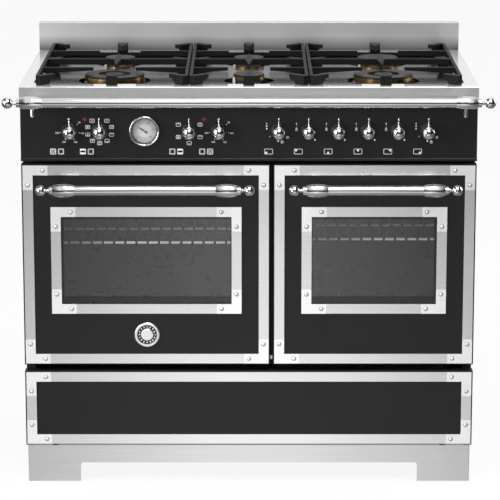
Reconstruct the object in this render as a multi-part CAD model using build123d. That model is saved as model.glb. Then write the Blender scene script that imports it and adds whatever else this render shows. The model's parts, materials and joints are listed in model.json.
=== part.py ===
from build123d import *

import os
from dataclasses import dataclass
from math import cos, pi, radians, sin

# Range cooker of the 100 cm class: six gas burners, a main oven, a small oven and a storage drawer.
# Millimetres. +X is to the right seen from the front, +Y is to the back and +Z is up.
# Pieces are drawn with y measured back from the worktop's front edge and z up from the floor.
# write_node moves them so that the origin is on the floor, under the middle of the whole box.

# Sheet steel and clearances
SHEET = 1.5
FLANGE = 20.0
SEAT_GAP = 0.3
RUNNING_GAP = 0.05
PIPE_HOLE_ROOM = 1.0
STEM_HOLE_ROOM = 1.0
CUT_PAST = 1.0

# Body, from the floor up
PLINTH_HEIGHT = 84.0
DRAWER_GAP = 4.0
DRAWER_HEIGHT = 172.0
DOOR_GAP = 14.0
DOOR_HEIGHT = 454.0
PANEL_GAP = 6.0
PANEL_HEIGHT = 122.0
FASCIA_HEIGHT = 44.0
UPSTAND_HEIGHT = 66.0

# Body, across and back
HOB_WIDTH = 1000.0
HOB_OVERHANG = 1.0
HOB_DEPTH = 600.0
UPSTAND_DEPTH = 25.0
FACE_SETBACK = 10.0
SKIN_DEPTH = 22.0
DOOR_DEPTH = 42.0
FRAME_GAP = 5.0
REAR_SETBACK = 25.0
EDGE_ROUND = 3.0
UPSTAND_ROUND = 1.0

# Levels and planes that follow from those
DRAWER_BOTTOM = PLINTH_HEIGHT + DRAWER_GAP
DRAWER_TOP = DRAWER_BOTTOM + DRAWER_HEIGHT
DOOR_BOTTOM = DRAWER_TOP + DOOR_GAP
DOOR_TOP = DOOR_BOTTOM + DOOR_HEIGHT
PANEL_BOTTOM = DOOR_TOP + PANEL_GAP
PANEL_TOP = PANEL_BOTTOM + PANEL_HEIGHT
HOB_TOP = PANEL_TOP + FASCIA_HEIGHT
HALF_HOB = HOB_WIDTH / 2
HALF_BODY = HALF_HOB - HOB_OVERHANG
FACE = FACE_SETBACK
SKIN_BACK = FACE + SKIN_DEPTH
DOOR_BACK = FACE + DOOR_DEPTH
FRAME_FRONT = DOOR_BACK + FRAME_GAP
FRAME_BACK = FRAME_FRONT + SHEET
REAR = HOB_DEPTH - REAR_SETBACK
INNER_FRONT = FRAME_BACK + SHEET
INNER_REAR = REAR - SHEET
INNER_HALF = HALF_BODY - SHEET

# Vents in the back panel
VENT_LENGTH = 70.0
VENT_WIDTH = 7.0
VENT_COLUMN_PITCH = 105.0
VENT_ROW_PITCH = 28.0
VENT_COLUMNS = 3
VENT_ROWS = 6

# Plinth and feet
PLINTH_SETBACK = 20.0
PLINTH_INSET = 3.0
PLINTH_SHEET = 2.0
LEG_WIDTH = 118.0
LEG_DEPTH = 90.0
PLINTH_CUT_HEIGHT = 43.5
LEG_ROUND = 6.0
FOOT_RADIUS = 18.0
FOOT_PAD = 10.0
FOOT_STEM_RADIUS = 6.0
FOOT_NUT_RADIUS = 12.0
FOOT_NUT = 7.2
FOOT_NUT_DROP = 12.0
FOOT_INSET_X = 60.0
FOOT_INSET_Y = 25.0

# Drawer
DRAWER_LENGTH = 440.0
DRAWER_WALL_HEIGHT = 104.0
DRAWER_BASE_RISE = 8.0
DRAWER_SIDE_ROOM = 9.0
RUNNER_TREAD = 14.0
RUNNER_GUIDE = 14.0
RUNNER_SIDE_GAP = 0.5
DECK_CLEARANCE = 2.0
DECK_BOTTOM = DRAWER_TOP + DECK_CLEARANCE

# Doors
DOOR_SPLIT = 50.0
DOOR_SPLIT_GAP = 6.4
WINDOW_SIDE_MARGIN = 63.0
WINDOW_TOP_MARGIN = 96.0
WINDOW_BOTTOM_MARGIN = 117.0
PANE = 4.0
PANE_LAP = 12.0
LINER_INSET = 1.0
LINER_SIDE = 28.0
LINER_TOP = 22.0
HINGE_SETBACK = 18.0
HINGE_RISE = 24.0
HINGE_INSET = 45.0
HINGE_PIN_RADIUS = 3.0
HINGE_EYE_RADIUS = 6.5
HINGE_ARM = 5.0
HINGE_CHEEK = 3.0
HINGE_CHEEK_HEIGHT = 56.0
HINGE_SIDE_GAP = 0.5
HINGE_SLOT_ROOM = 2.0
HINGE_BELOW = 9.0
HINGE_FOOT = 2.0
HINGE_FOOT_WIDTH = 20.0
HINGE_FOOT_ROUND = 2.0
HINGE_Y = FACE + HINGE_SETBACK
HINGE_Z = DOOR_BOTTOM + HINGE_RISE

# Riveted trims on the doors and the drawer
TRIM_WIDTH = 22.0
TRIM_INSET = 3.0
TRIM_STRIP = 2.5
TRIM_PLATE = 3.0
TRIM_ARM = 55.0
TRIM_LAP = 12.0
RIVET_RADIUS = 4.0
RIVET_RISE = 2.0
RIVET_ALONG = 44.0
ROUNDEL_RADIUS = 27.5
ROUNDEL_RISE = 4.5
ROUNDEL_DISH_RISE = 2.7
ROUNDEL_RIM_SLOPE = 2.0
ROUNDEL_RIM = 2.5
ROUNDEL_DISH_SLOPE = 1.0
ROUNDEL_BOSS_RADIUS = 13.5
ROUNDEL_BOSS_SLOPE = 2.0
ROUNDEL_HEIGHT = 69.0

# Turned handles and towel rail
HANDLE_STANDOFF = 55.0
HANDLE_DROP = 49.0
HANDLE_INSET = 46.0
RAIL_STANDOFF = 45.0
RAIL_DROP = 28.5
RAIL_OVERHANG = 21.5
RAIL_POST_INSET = 32.0
RAIL_HALF_SPAN = HALF_HOB + RAIL_OVERHANG
RAIL_POST_X = HALF_HOB - RAIL_POST_INSET
POST_RADIUS = 6.0
ROSETTE_RADIUS = 10.0
ROSETTE = 4.0
DROP_RADIUS = 4.5
DROP_LENGTH = 28.0
BALL_OVER_BAR = 1.1
BEAD_RADIUS = 4.5
BEAD_SINK = 0.9
NECK_RADIUS = 2.7
COLLAR_UNDER_BAR = 1.5
COLLAR_LENGTH = 7.5
BARREL_END_OVER_BAR = 0.9
BARREL_LENGTH = 47.0

# Ovens
MOUTH_SIDE_MARGIN = 53.0
MOUTH_TOP_MARGIN = 63.0
MOUTH_BOTTOM_MARGIN = 56.0
MOUTH_ROUND = 10.0
CAVITY_DEPTH = 430.0
SEAL_OFFSET = 6.0
SEAL_WIDTH = 8.0
SEAL_PRESS_GAP = 0.4
RACK_WIRE = 2.5
RACK_STANDOFF = 7.2
RACK_LEVELS = 5
RACK_PITCH = 50.0
RACK_INSET_FRONT = 50.0
RACK_INSET_BACK = 50.0
MAIN_SHELF_RISE = 200.0
SMALL_SHELF_RISE = 208.0
SHELF_SIDE_ROOM = 1.0
SHELF_FRAME_WIRE = 3.0
SHELF_WIRE = 1.6
SHELF_PITCH = 25.0
SHELF_SETBACK = 30.0
SHELF_DEPTH = 365.0
SHELF_RODS = 150.0
GRILL_TUBE = 3.5
GRILL_DROP = 26.0
GRILL_REACH = 330.0
GRILL_SHORT = 60.0
GRILL_SIDE = 60.0
GRILL_BEND = 18.0
FAN_COVER_RADIUS = 105.0
FAN_COVER_DEPTH = 24.0
FAN_COVER_BEND = 10.0
FAN_COVER_SLOTS = 18
FAN_SLOT_LENGTH = 31.5
FAN_SLOT_WIDTH = 5.0
FAN_SLOT_INSET = 33.6
FAN_HOLE_RADIUS = 4.0
FAN_HOLE_RINGS = ((21.0, 6), (40.0, 12))
FAN_RADIUS = 80.0
FAN_BLADES = 12
FAN_BLADE_LENGTH = 36.0
FAN_BLADE_INSET = 21.6
FAN_BLADE_TURN = 25.0
FAN_BLADE_CLEARANCE = 6.0
FAN_WALL_GAP = 3.0
FAN_SHAFT_RADIUS = 4.0
FAN_SHAFT_HOLE_ROOM = 2.0
FAN_SHAFT_CLEARANCE = 4.5
FAN_HUB_RADIUS = 12.0
MOTOR_RADIUS = 36.0
MOTOR_LENGTH = 40.0
MOTOR_CAN_LENGTH = 24.0
MOTOR_SHOULDER = 4.0
MOTOR_TAIL_RADIUS = 25.0

# Hob
FRONT_RIM = 41.0
REAR_RIM = 36.0
SIDE_RIM = 28.0
RECESS_DEPTH = 9.0
RECESS_ROUND = 25.0
BOWL_DEPTH = 14.0
FRONT_ROW = 149.0
BACK_ROW_INSET = 127.0
RECESS_FLOOR = HOB_TOP - RECESS_DEPTH
BOWL_FLOOR = RECESS_FLOOR - BOWL_DEPTH
RECESS_REAR = HOB_DEPTH - UPSTAND_DEPTH - REAR_RIM
BACK_ROW = RECESS_REAR - BACK_ROW_INSET

# Burners
CUP_HEIGHT = 14.0
CUP_INSET = 6.0
HEAD_HEIGHT = 11.0
HEAD_TAPER = 3.0
HEAD_TAPER_HEIGHT = 3.3
CAP_HEIGHT = 5.0
CAP_ROUND = 2.0
PORT_WIDTH = 1.6
PORT_HEIGHT = 5.0
PORT_DEPTH = 4.0
PORT_PITCH = 5.0
PORT_LEVEL = 6.6
RING_HOLE_RADIUS = 36.0
RING_CAP_OVERHANG = 2.0
INNER_CAP_RADIUS = 20.5
INNER_CAP_OVERHANG = 1.0
IGNITER_RADIUS = 3.0
IGNITER_GAP = 3.0
IGNITER_RISE = 26.0
IGNITER_TIP = 3.0
IGNITER_TIP_RADIUS = 1.0
IGNITER_TURN = 215.0
DOUBLE_IGNITER_TURN = -35.0

# Cast-iron pan supports
GRATE_HEIGHT = 21.0
GRATE_SIDE_INSET = 35.0
GRATE_HALF_SPAN = HALF_HOB - GRATE_SIDE_INSET
CENTRE_GRATE_WIDTH = 260.0
GRATE_SPACE = 3.0
COLUMN_PITCH = (GRATE_HALF_SPAN + CENTRE_GRATE_WIDTH / 2 + GRATE_SPACE) / 2
GRATE_FRONT = 20.0
GRATE_REAR_GAP = 26.0
GRATE_REAR = HOB_DEPTH - UPSTAND_DEPTH - GRATE_REAR_GAP
GRATE_RAIL = 7.0
GRATE_RAIL_HEIGHT = 15.0
GRATE_BAR = 9.0
BAR_ROOT = 13.0
BAR_TIP = 7.0
BURNER_CLEARANCE = 47.0
DIAMOND_WIDTH = 18.0
DIAMOND_HALF_LENGTH = 90.0
WEDGE_WIDTH = 24.0
WEDGE_LENGTH = 60.0
WEDGE_FOOT = 19.0
GRATE_FOOT_LENGTH = 44.0
GRATE_FOOT_WIDTH = 15.0
GRATE_FOOT_NOTCH = 9.0
GRATE_FOOT_SEAT = 24.2
GRATE_FOOT_ARCH = 11.0
GRATE_FOOT_INSET = 5.4
MIDDLE_FOOT_TURN = 40.0
TIE_WIDTH = 6.0
TIE_HEIGHT = 7.0
TIE_GAP = 2.0
TIE_SINK = 0.5

# Controls
KNOB_PITCH = 65.2
KNOB_DROP = 54.5
KNOB_SKIRT_RADIUS = 18.5
KNOB_SKIRT = 3.0
KNOB_SKIRT_SLOPE = 1.0
KNOB_NECK_ROOT = 11.6
KNOB_NECK_TIP = 9.3
KNOB_PANEL_GAP = 0.4
KNOB_REACH = 21.0
ONION_RADIUS = 15.5
ONION_BELOW = 18.0
ONION_ABOVE = 17.5
ONION_WAIST = 1.5
ONION_BELLY = 12.2
ONION_BELLY_RADIUS = 11.2
ONION_SHOULDER = 12.6
ONION_SHOULDER_RADIUS = 7.0
FINIAL_NECK = 1.6
FINIAL_BEAD = 2.3
FINIAL_BALL = 2.9
FINIAL_REACH = 31.6
STEM_RADIUS = 3.0
STEM_LENGTH = 18.0
STEM_END_ROOM = 1.0
VALVE_RADIUS = 14.0
VALVE_LENGTH = 30.0
VALVE_COLLAR_RADIUS = 8.0
VALVE_COLLAR = 2.5
OVEN_KNOBS = {"main_selector_knob": -5, "main_thermostat_knob": -6,
              "small_selector_knob": -2, "small_thermostat_knob": -1}
GAS_KNOBS = 6
LIP_RADIUS = 4.5
GAUGE_COLUMN = -3.5
GAUGE_RADIUS = 33.0
GAUGE_BEZEL = 4.0
GAUGE_RISE = 9.0
BEZEL_CREST = 1.6
BEZEL_INNER_FALL = 2.0
BEZEL_OUTER_FALL = 3.0
DIAL_LIFT = 1.0
GLASS_SINK = 2.5
GAUGE_CUP_RADIUS = 27.0
GAUGE_CUP_DEPTH = 24.0
GAUGE_GLASS = 1.5
GAUGE_PIVOT_RADIUS = 1.0
GAUGE_PIVOT_LENGTH = 3.0
NEEDLE = 0.8
NEEDLE_LENGTH = 21.0
NEEDLE_TAIL = 8.0
NEEDLE_HALF_WIDTH = 2.6
NEEDLE_LIFT = 2.6
NEEDLE_ANGLE = 147.0
LAMP_COLUMNS = (-5.5, -1.5)
LAMP_RISE = 25.0
LAMP_RADIUS = 3.0
LAMP_DEPTH = 16.0
PIPE_RADIUS = 9.0
PIPE_BEND = 30.0
PIPE_INSET = 39.0
PIPE_SIDE = HALF_BODY - PIPE_INSET
INLET_RADIUS = 10.5
INLET_LENGTH = 18.0
KNOB_Z = PANEL_TOP - KNOB_DROP

# The part's frame: y moves back by half the difference between what stands behind and before the edge
FERRULE_OVER_BAR = 4.0
RAIL_BAR_RADIUS = 11.0
HANDLE_BAR_RADIUS = 10.5
FRONT_REACH = RAIL_STANDOFF + RAIL_BAR_RADIUS + FERRULE_OVER_BAR
ROW_SHIFT = -(HOB_DEPTH - FRONT_REACH) / 2


@dataclass(frozen=True)
class Door:
    """One drop-down oven door, by its left and right edges."""

    left: float
    right: float

    @property
    def middle(self):
        return (self.left + self.right) / 2

    def mouth(self, grow=0.0):
        """Limits x0, x1, z0, z1 of the oven mouth behind the door."""
        return (self.left + MOUTH_SIDE_MARGIN - grow, self.right - MOUTH_SIDE_MARGIN + grow,
                DOOR_BOTTOM + MOUTH_BOTTOM_MARGIN - grow, DOOR_TOP - MOUTH_TOP_MARGIN + grow)

    def window(self, inset=0.0):
        """Limits of the window, measured at the outside of its trim."""
        return (self.left + WINDOW_SIDE_MARGIN + inset, self.right - WINDOW_SIDE_MARGIN - inset,
                DOOR_BOTTOM + WINDOW_BOTTOM_MARGIN + inset, DOOR_TOP - WINDOW_TOP_MARGIN - inset)

    def hinges(self):
        """The two hinges' middle planes."""
        return self.left + HINGE_INSET, self.right - HINGE_INSET


@dataclass(frozen=True)
class Burner:
    """One gas burner: its column, row, head and the pressed bowl that it stands in."""

    column: int
    y: float
    radius: float
    bowl: float
    double: bool = False

    @property
    def x(self):
        return self.column * COLUMN_PITCH


MAIN_DOOR = Door(-HALF_BODY, DOOR_SPLIT - DOOR_SPLIT_GAP / 2)
SMALL_DOOR = Door(DOOR_SPLIT + DOOR_SPLIT_GAP / 2, HALF_BODY)
DOORS = {"main": MAIN_DOOR, "small": SMALL_DOOR}
BURNERS = (
    Burner(-1, FRONT_ROW, 66.0, 80.0, double=True),
    Burner(-1, BACK_ROW, 34.5, 55.0),
    Burner(0, FRONT_ROW, 34.5, 55.0),
    Burner(0, BACK_ROW, 35.0, 55.0),
    Burner(1, FRONT_ROW, 66.0, 80.0, double=True),
    Burner(1, BACK_ROW, 47.0, 67.0),
)


def block(x0, x1, y0, y1, z0, z1):
    """Box between pairs of limits."""
    return Pos((x0 + x1) / 2, (y0 + y1) / 2, (z0 + z1) / 2) * Box(x1 - x0, y1 - y0, z1 - z0)


def plate(x0, x1, z0, z1, front, thickness, corner=0.0):
    """Upright plate that faces the front, with rounded corners where a radius is given."""
    width, height = x1 - x0, z1 - z0
    outline = RectangleRounded(width, height, corner) if corner else Rectangle(width, height)
    seat = Plane(((x0 + x1) / 2, front + thickness, (z0 + z1) / 2), x_dir=(1, 0, 0), z_dir=(0, -1, 0))
    return extrude(seat * outline, thickness)


def tray(x0, x1, y0, y1, z0, z1, open_side, wall=SHEET):
    """Folded sheet box with one side left open, named by its direction, such as -y."""
    limits = {"-x": x0, "+x": x1, "-y": y0, "+y": y1, "-z": z0, "+z": z1}
    inside = {side: at + wall if side[0] == "-" else at - wall for side, at in limits.items()}
    past = -wall if open_side[0] == "-" else wall
    inside[open_side] = limits[open_side] + past
    return block(*limits.values()) - block(*inside.values())


def rod(start, end, radius):
    """Round bar between two points."""
    along = Vector(*end) - Vector(*start)
    return extrude(Plane(start, z_dir=along) * Circle(radius), along.length)


def upright(x, y, z0, z1, radius):
    """Round bar standing between two levels."""
    return rod((x, y, z0), (x, y, z1), radius)


def turned(*edges):
    """Solid turned about the Y axis, from an outline of x as radius and y along the axis."""
    closing = Line(edges[-1] @ 1, edges[0] @ 0)
    return revolve(make_face([*edges, closing]), Axis.Y)


def turned_steps(*points):
    """Solid turned about the Y axis from straight steps of (radius, along), closed from end to start."""
    return turned(Polyline(*points))


def prism(points, plane, thickness):
    """Outline on a plane, thickened evenly to both sides of it."""
    return extrude(plane * Polygon(*points, align=None), thickness / 2, both=True)


def mouth_plate(door, front, thickness, grow=0.0):
    """Block in the shape of an oven mouth."""
    return plate(*door.mouth(grow), front, thickness, MOUTH_ROUND + grow)


# Carcass


def side_panels():
    """Two folded sides, open towards the inside."""
    left = tray(-HALF_BODY, -HALF_BODY + FLANGE, FRAME_BACK, REAR, PLINTH_HEIGHT, PANEL_TOP, "+x")
    right = tray(HALF_BODY - FLANGE, HALF_BODY, FRAME_BACK, REAR, PLINTH_HEIGHT, PANEL_TOP, "-x")
    return [left, right]


def back_panel():
    """Rear sheet with two fields of vent slots and the hole for the gas inlet."""
    sheet = plate(-INNER_HALF, INNER_HALF, PLINTH_HEIGHT, PANEL_TOP, REAR, SHEET)
    rows = GridLocations(VENT_COLUMN_PITCH, VENT_ROW_PITCH, VENT_COLUMNS, VENT_ROWS)
    vents = []
    for door in DOORS.values():
        seat = Plane((door.middle, REAR + 2 * SHEET, (DOOR_TOP + PANEL_BOTTOM) / 2), x_dir=(1, 0, 0),
                     z_dir=(0, -1, 0))
        field = Sketch() + [spot * SlotOverall(VENT_LENGTH, VENT_WIDTH) for spot in rows]
        vents.append(extrude(seat * field, 4 * SHEET))
    hole = rod((PIPE_SIDE, REAR - SHEET, manifold_z()), (PIPE_SIDE, REAR + 3 * SHEET, manifold_z()),
               PIPE_RADIUS + PIPE_HOLE_ROOM)
    return sheet - vents - hole


def base_panel():
    """Floor of the drawer space, laid on the sides' lower flanges."""
    bottom = PLINTH_HEIGHT + SHEET
    return block(-INNER_HALF, INNER_HALF, INNER_FRONT, INNER_REAR, bottom, bottom + SHEET)


def oven_deck():
    """Sheet between the drawer space and the ovens."""
    return block(-INNER_HALF, INNER_HALF, INNER_FRONT, INNER_REAR, DECK_BOTTOM, DECK_BOTTOM + SHEET)


def front_frame():
    """Front sheet with both oven mouths and the hole for the gas pipe."""
    frame = plate(-HALF_BODY, HALF_BODY, DECK_BOTTOM, PANEL_TOP, FRAME_FRONT, SHEET)
    for door in DOORS.values():
        frame -= mouth_plate(door, FRAME_FRONT - SHEET, 3 * SHEET)
    pipe = rod((PIPE_SIDE, FRAME_FRONT - SHEET, manifold_z()),
               (PIPE_SIDE, FRAME_BACK + SHEET, manifold_z()), PIPE_RADIUS + PIPE_HOLE_ROOM)
    return frame - pipe


def plinth():
    """Skirt round the front and sides, cut away between its legs."""
    half = HALF_BODY - PLINTH_INSET
    skirt = block(-half, half, PLINTH_SETBACK, REAR, 0, PLINTH_HEIGHT)
    skirt = fillet(skirt.edges().filter_by(Axis.Z).group_by(Axis.Y)[0], EDGE_ROUND)
    inside = half - PLINTH_SHEET
    skirt -= block(-inside, inside, PLINTH_SETBACK + PLINTH_SHEET, REAR + SHEET, -CUT_PAST,
                   PLINTH_HEIGHT + CUT_PAST)
    toe = half - LEG_WIDTH
    cut_top = PLINTH_CUT_HEIGHT
    front_cut = plate(-toe, toe, -cut_top, cut_top, PLINTH_SETBACK - CUT_PAST, PLINTH_SHEET + 2 * CUT_PAST,
                      LEG_ROUND)
    y0, y1 = PLINTH_SETBACK + LEG_DEPTH, REAR - LEG_DEPTH
    side_cut = block(-HALF_BODY, HALF_BODY, y0, y1, -cut_top, cut_top)
    side_cut = fillet(side_cut.edges().filter_by(Axis.X), LEG_ROUND)
    return skirt - front_cut - side_cut


def levelling_feet():
    """Four screw feet under the base."""
    top = PLINTH_HEIGHT + SHEET
    foot = turned_steps((0, 0), (FOOT_RADIUS, 0), (FOOT_RADIUS, FOOT_PAD / 2), (FOOT_STEM_RADIUS, FOOT_PAD),
                        (FOOT_STEM_RADIUS, top), (0, top))
    nut = extrude(Pos(0, 0, top - FOOT_NUT_DROP) * RegularPolygon(FOOT_NUT_RADIUS, 6), FOOT_NUT)
    foot = Rot(90, 0, 0) * foot + nut
    x = HALF_BODY - FOOT_INSET_X
    rows = (INNER_FRONT + FOOT_INSET_Y, INNER_REAR - FOOT_INSET_Y)
    return [Pos(side * x, y, 0) * foot for side in (-1, 1) for y in rows]


def drawer_half():
    """Half the width of the drawer box, inside the sides' front flanges."""
    return HALF_BODY - FLANGE - DRAWER_SIDE_ROOM


def drawer_base():
    """Level of the drawer box's underside."""
    return DRAWER_BOTTOM + DRAWER_BASE_RISE


def drawer_runners():
    """Two channels on the base that carry and guide the drawer."""
    floor = PLINTH_HEIGHT + 2 * SHEET
    wall = drawer_half() + RUNNER_SIDE_GAP
    tread_top = drawer_base() - SEAT_GAP
    y0, y1 = INNER_FRONT, INNER_FRONT + DRAWER_LENGTH
    tread = block(wall - 2 * RUNNER_TREAD, wall - RUNNER_TREAD, y0, y1, floor, tread_top)
    web = block(wall - RUNNER_TREAD, wall + SHEET, y0, y1, floor, floor + SHEET)
    guide = block(wall, wall + SHEET, y0, y1, floor, tread_top + RUNNER_GUIDE)
    right = tread + web + guide
    return [mirror(right, Plane.YZ), right]


# Ovens


def oven_cavity(door):
    """Enamelled box behind an oven mouth."""
    outside = mouth_plate(door, FRAME_BACK, CAVITY_DEPTH + SHEET, SHEET)
    return outside - mouth_plate(door, FRAME_BACK - SHEET, CAVITY_DEPTH + SHEET)


def fan_axis():
    """Middle of the main oven's back wall."""
    x0, x1, z0, z1 = MAIN_DOOR.mouth()
    return (x0 + x1) / 2, (z0 + z1) / 2


def cavity_back():
    """Plane of the cavities' inner back wall."""
    return FRAME_BACK + CAVITY_DEPTH


def main_oven_cavity():
    """Main oven, with the hole for the fan's shaft."""
    x, z = fan_axis()
    hole = rod((x, cavity_back() - SHEET, z), (x, cavity_back() + 2 * SHEET, z),
               FAN_SHAFT_RADIUS + FAN_SHAFT_HOLE_ROOM)
    return oven_cavity(MAIN_DOOR) - hole


def oven_door_seals():
    """Rope seal round each oven mouth."""
    seals = []
    thickness = FRAME_GAP - SEAL_PRESS_GAP
    for door in DOORS.values():
        outside = mouth_plate(door, FRAME_FRONT - thickness, thickness, SEAL_OFFSET + SEAL_WIDTH)
        inside = mouth_plate(door, FRAME_FRONT - thickness - CUT_PAST, thickness + 2 * CUT_PAST, SEAL_OFFSET)
        seals.append(outside - inside)
    return seals


def shelf_seat(door, rise):
    """Level of the rack wires that carry a shelf."""
    return door.mouth()[2] + rise


def side_rack(wall, inward, seat):
    """Wire ladder on one oven wall: runs to carry a shelf, on two posts against the wall."""
    y0 = FRAME_BACK + RACK_INSET_FRONT
    y1 = cavity_back() - RACK_INSET_BACK
    levels = [seat + RACK_PITCH * (step - RACK_LEVELS + 2) for step in range(RACK_LEVELS)]
    run_x = wall + inward * RACK_STANDOFF
    post_x = wall + inward * RACK_WIRE
    ladder = [rod((run_x, y0, z), (run_x, y1, z), RACK_WIRE) for z in levels]
    for y in (y0 + RACK_PITCH, y1 - RACK_PITCH):
        ladder.append(upright(post_x, y, levels[0] - RACK_PITCH / 2, levels[-1] + RACK_PITCH / 2, RACK_WIRE))
    return Part() + ladder


def shelf_side_racks():
    """A pair of wire ladders in each oven."""
    racks = []
    for door, rise in ((MAIN_DOOR, MAIN_SHELF_RISE), (SMALL_DOOR, SMALL_SHELF_RISE)):
        x0, x1, _, _ = door.mouth()
        seat = shelf_seat(door, rise)
        racks += [side_rack(x0, 1, seat), side_rack(x1, -1, seat)]
    return racks


def oven_shelf(door, rise):
    """Wire shelf: a frame, cross rods and closely spaced wires along the depth."""
    x0, x1, _, _ = door.mouth()
    side = RACK_STANDOFF + SHELF_SIDE_ROOM
    left, right = x0 + side, x1 - side
    z = shelf_seat(door, rise) + RACK_WIRE + SHELF_FRAME_WIRE
    y0 = FRAME_BACK + SHELF_SETBACK
    y1 = y0 + SHELF_DEPTH
    wires = [rod((x, y0, z), (x, y1, z), SHELF_FRAME_WIRE) for x in (left, right)]
    rods = [y0, y1] + [y0 + SHELF_RODS * step for step in range(1, int(SHELF_DEPTH / SHELF_RODS) + 1)]
    wires += [rod((left, y, z), (right, y, z), SHELF_FRAME_WIRE) for y in rods]
    count = int((right - left) / SHELF_PITCH) - 1
    first = (left + right) / 2 - SHELF_PITCH * (count - 1) / 2
    for step in range(count):
        x = first + SHELF_PITCH * step
        wires.append(rod((x, y0, z), (x, y1, z), SHELF_WIRE))
    return Part() + wires


def oven_shelves():
    """One wire shelf in each oven."""
    return [oven_shelf(MAIN_DOOR, MAIN_SHELF_RISE), oven_shelf(SMALL_DOOR, SMALL_SHELF_RISE)]


def grill_element(door):
    """Bent heating tube under an oven's roof, with both ends in the back wall."""
    x0, x1, _, z1 = door.mouth()
    z = z1 - GRILL_DROP
    back = cavity_back()
    front, turn = back - GRILL_REACH, back - GRILL_SHORT
    left, right = x0 + GRILL_SIDE, x1 - GRILL_SIDE
    third = (right - left) / 3
    corners = [(left, back), (left, front), (left + third, front), (left + third, turn),
               (right - third, turn), (right - third, front), (right, front), (right, back)]
    path = FilletPolyline(*[(x, y, z) for x, y in corners], radius=GRILL_BEND)
    return sweep(Plane((left, back, z), z_dir=(0, -1, 0)) * Circle(GRILL_TUBE), path=path)


def grill_elements():
    """One grill element in each oven."""
    return [grill_element(door) for door in DOORS.values()]


def at_fan(shape, front):
    """Place a piece turned about Y on the fan's axis, with its zero at a plane."""
    x, z = fan_axis()
    return Pos(x, front, z) * shape


def fan_cover():
    """Round dished cover on the oven's back wall, pierced by a ring of slots and a field of holes."""
    front = cavity_back() - FAN_COVER_DEPTH
    outer, inner, depth = FAN_COVER_RADIUS, FAN_COVER_RADIUS - SHEET, FAN_COVER_DEPTH
    bend = FAN_COVER_BEND
    dish = turned_steps((0, 0), (outer - bend, 0), (outer, bend), (outer, depth), (inner, depth),
                        (inner, bend + SHEET / 2), (inner - bend + SHEET / 2, SHEET), (0, SHEET))
    slot = Box(FAN_SLOT_LENGTH, 4 * SHEET, FAN_SLOT_WIDTH)
    ring = outer - FAN_SLOT_INSET
    cuts = [Rot(0, step * 360 / FAN_COVER_SLOTS, 0) * Pos(ring, SHEET / 2, 0) * slot
            for step in range(FAN_COVER_SLOTS)]
    hole = rod((0, -SHEET, 0), (0, 3 * SHEET, 0), FAN_HOLE_RADIUS)
    for radius, count in FAN_HOLE_RINGS:
        cuts += [Rot(0, step * 360 / count, 0) * Pos(radius, 0, 0) * hole for step in range(count)]
    return at_fan(dish - cuts, front)


def fan_motor():
    """Motor on the outside of the oven's back wall, with its shaft through the wall."""
    seat = SHEET
    shaft_end = FAN_SHAFT_CLEARANCE - FAN_COVER_DEPTH
    can_end = seat + MOTOR_CAN_LENGTH
    body = turned_steps((0, shaft_end), (FAN_SHAFT_RADIUS, shaft_end), (FAN_SHAFT_RADIUS, seat),
                        (MOTOR_RADIUS, seat), (MOTOR_RADIUS, can_end),
                        (MOTOR_TAIL_RADIUS, can_end + MOTOR_SHOULDER),
                        (MOTOR_TAIL_RADIUS, seat + MOTOR_LENGTH), (0, seat + MOTOR_LENGTH))
    return at_fan(body, cavity_back())


def fan_impeller():
    """Radial fan wheel that runs on the motor's shaft inside the cover."""
    disc_back = -FAN_WALL_GAP
    disc_front = disc_back - SHEET
    blade_depth = FAN_COVER_DEPTH - FAN_BLADE_CLEARANCE
    wheel = turned_steps((0, -blade_depth), (FAN_HUB_RADIUS, -blade_depth), (FAN_HUB_RADIUS, disc_front),
                         (FAN_RADIUS, disc_front), (FAN_RADIUS, disc_back), (0, disc_back))
    blade = Box(FAN_BLADE_LENGTH, blade_depth + disc_back, SHEET)
    middle = (disc_back - blade_depth) / 2
    for step in range(FAN_BLADES):
        seat = Rot(0, step * 360 / FAN_BLADES, 0) * Pos(FAN_RADIUS - FAN_BLADE_INSET, middle, 0)
        wheel += seat * Rot(0, FAN_BLADE_TURN, 0) * blade
    wheel -= rod((0, -2 * blade_depth, 0), (0, 0, 0), FAN_SHAFT_RADIUS + RUNNING_GAP)
    return at_fan(wheel, cavity_back())


def hinge_arms():
    """Fixed hinge arms on the front frame, with eyes for the doors' pins."""
    arms = []
    side = Plane.YZ
    for door in DOORS.values():
        for x in door.hinges():
            eye = rod((x - HINGE_ARM / 2, HINGE_Y, HINGE_Z), (x + HINGE_ARM / 2, HINGE_Y, HINGE_Z),
                      HINGE_EYE_RADIUS)
            half = HINGE_EYE_RADIUS
            outline = [(HINGE_Y, HINGE_Z - half), (FRAME_FRONT, HINGE_Z - half),
                       (FRAME_FRONT, HINGE_Z + half), (HINGE_Y, HINGE_Z + half)]
            arm = Pos(x, 0, 0) * prism(outline, side, HINGE_ARM)
            foot = plate(x - HINGE_FOOT_WIDTH / 2, x + HINGE_FOOT_WIDTH / 2, HINGE_Z - 2 * half,
                         HINGE_Z + 2 * half, FRAME_FRONT - HINGE_FOOT, HINGE_FOOT, HINGE_FOOT_ROUND)
            bore = rod((x - HINGE_ARM, HINGE_Y, HINGE_Z), (x + HINGE_ARM, HINGE_Y, HINGE_Z),
                       HINGE_PIN_RADIUS + RUNNING_GAP)
            arms.append(eye + arm + foot - bore)
    return arms


# Hob


def recess(grow=0.0):
    """The shallow well in the worktop, as a solid that reaches above the rim."""
    width = 2 * (HALF_HOB - SIDE_RIM + grow)
    depth = RECESS_REAR - FRONT_RIM + 2 * grow
    outline = RectangleRounded(width, depth, RECESS_ROUND + grow)
    floor = RECESS_FLOOR - grow
    return extrude(Pos(0, (FRONT_RIM + RECESS_REAR) / 2, floor) * outline, HOB_TOP + CUT_PAST - floor)


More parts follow.
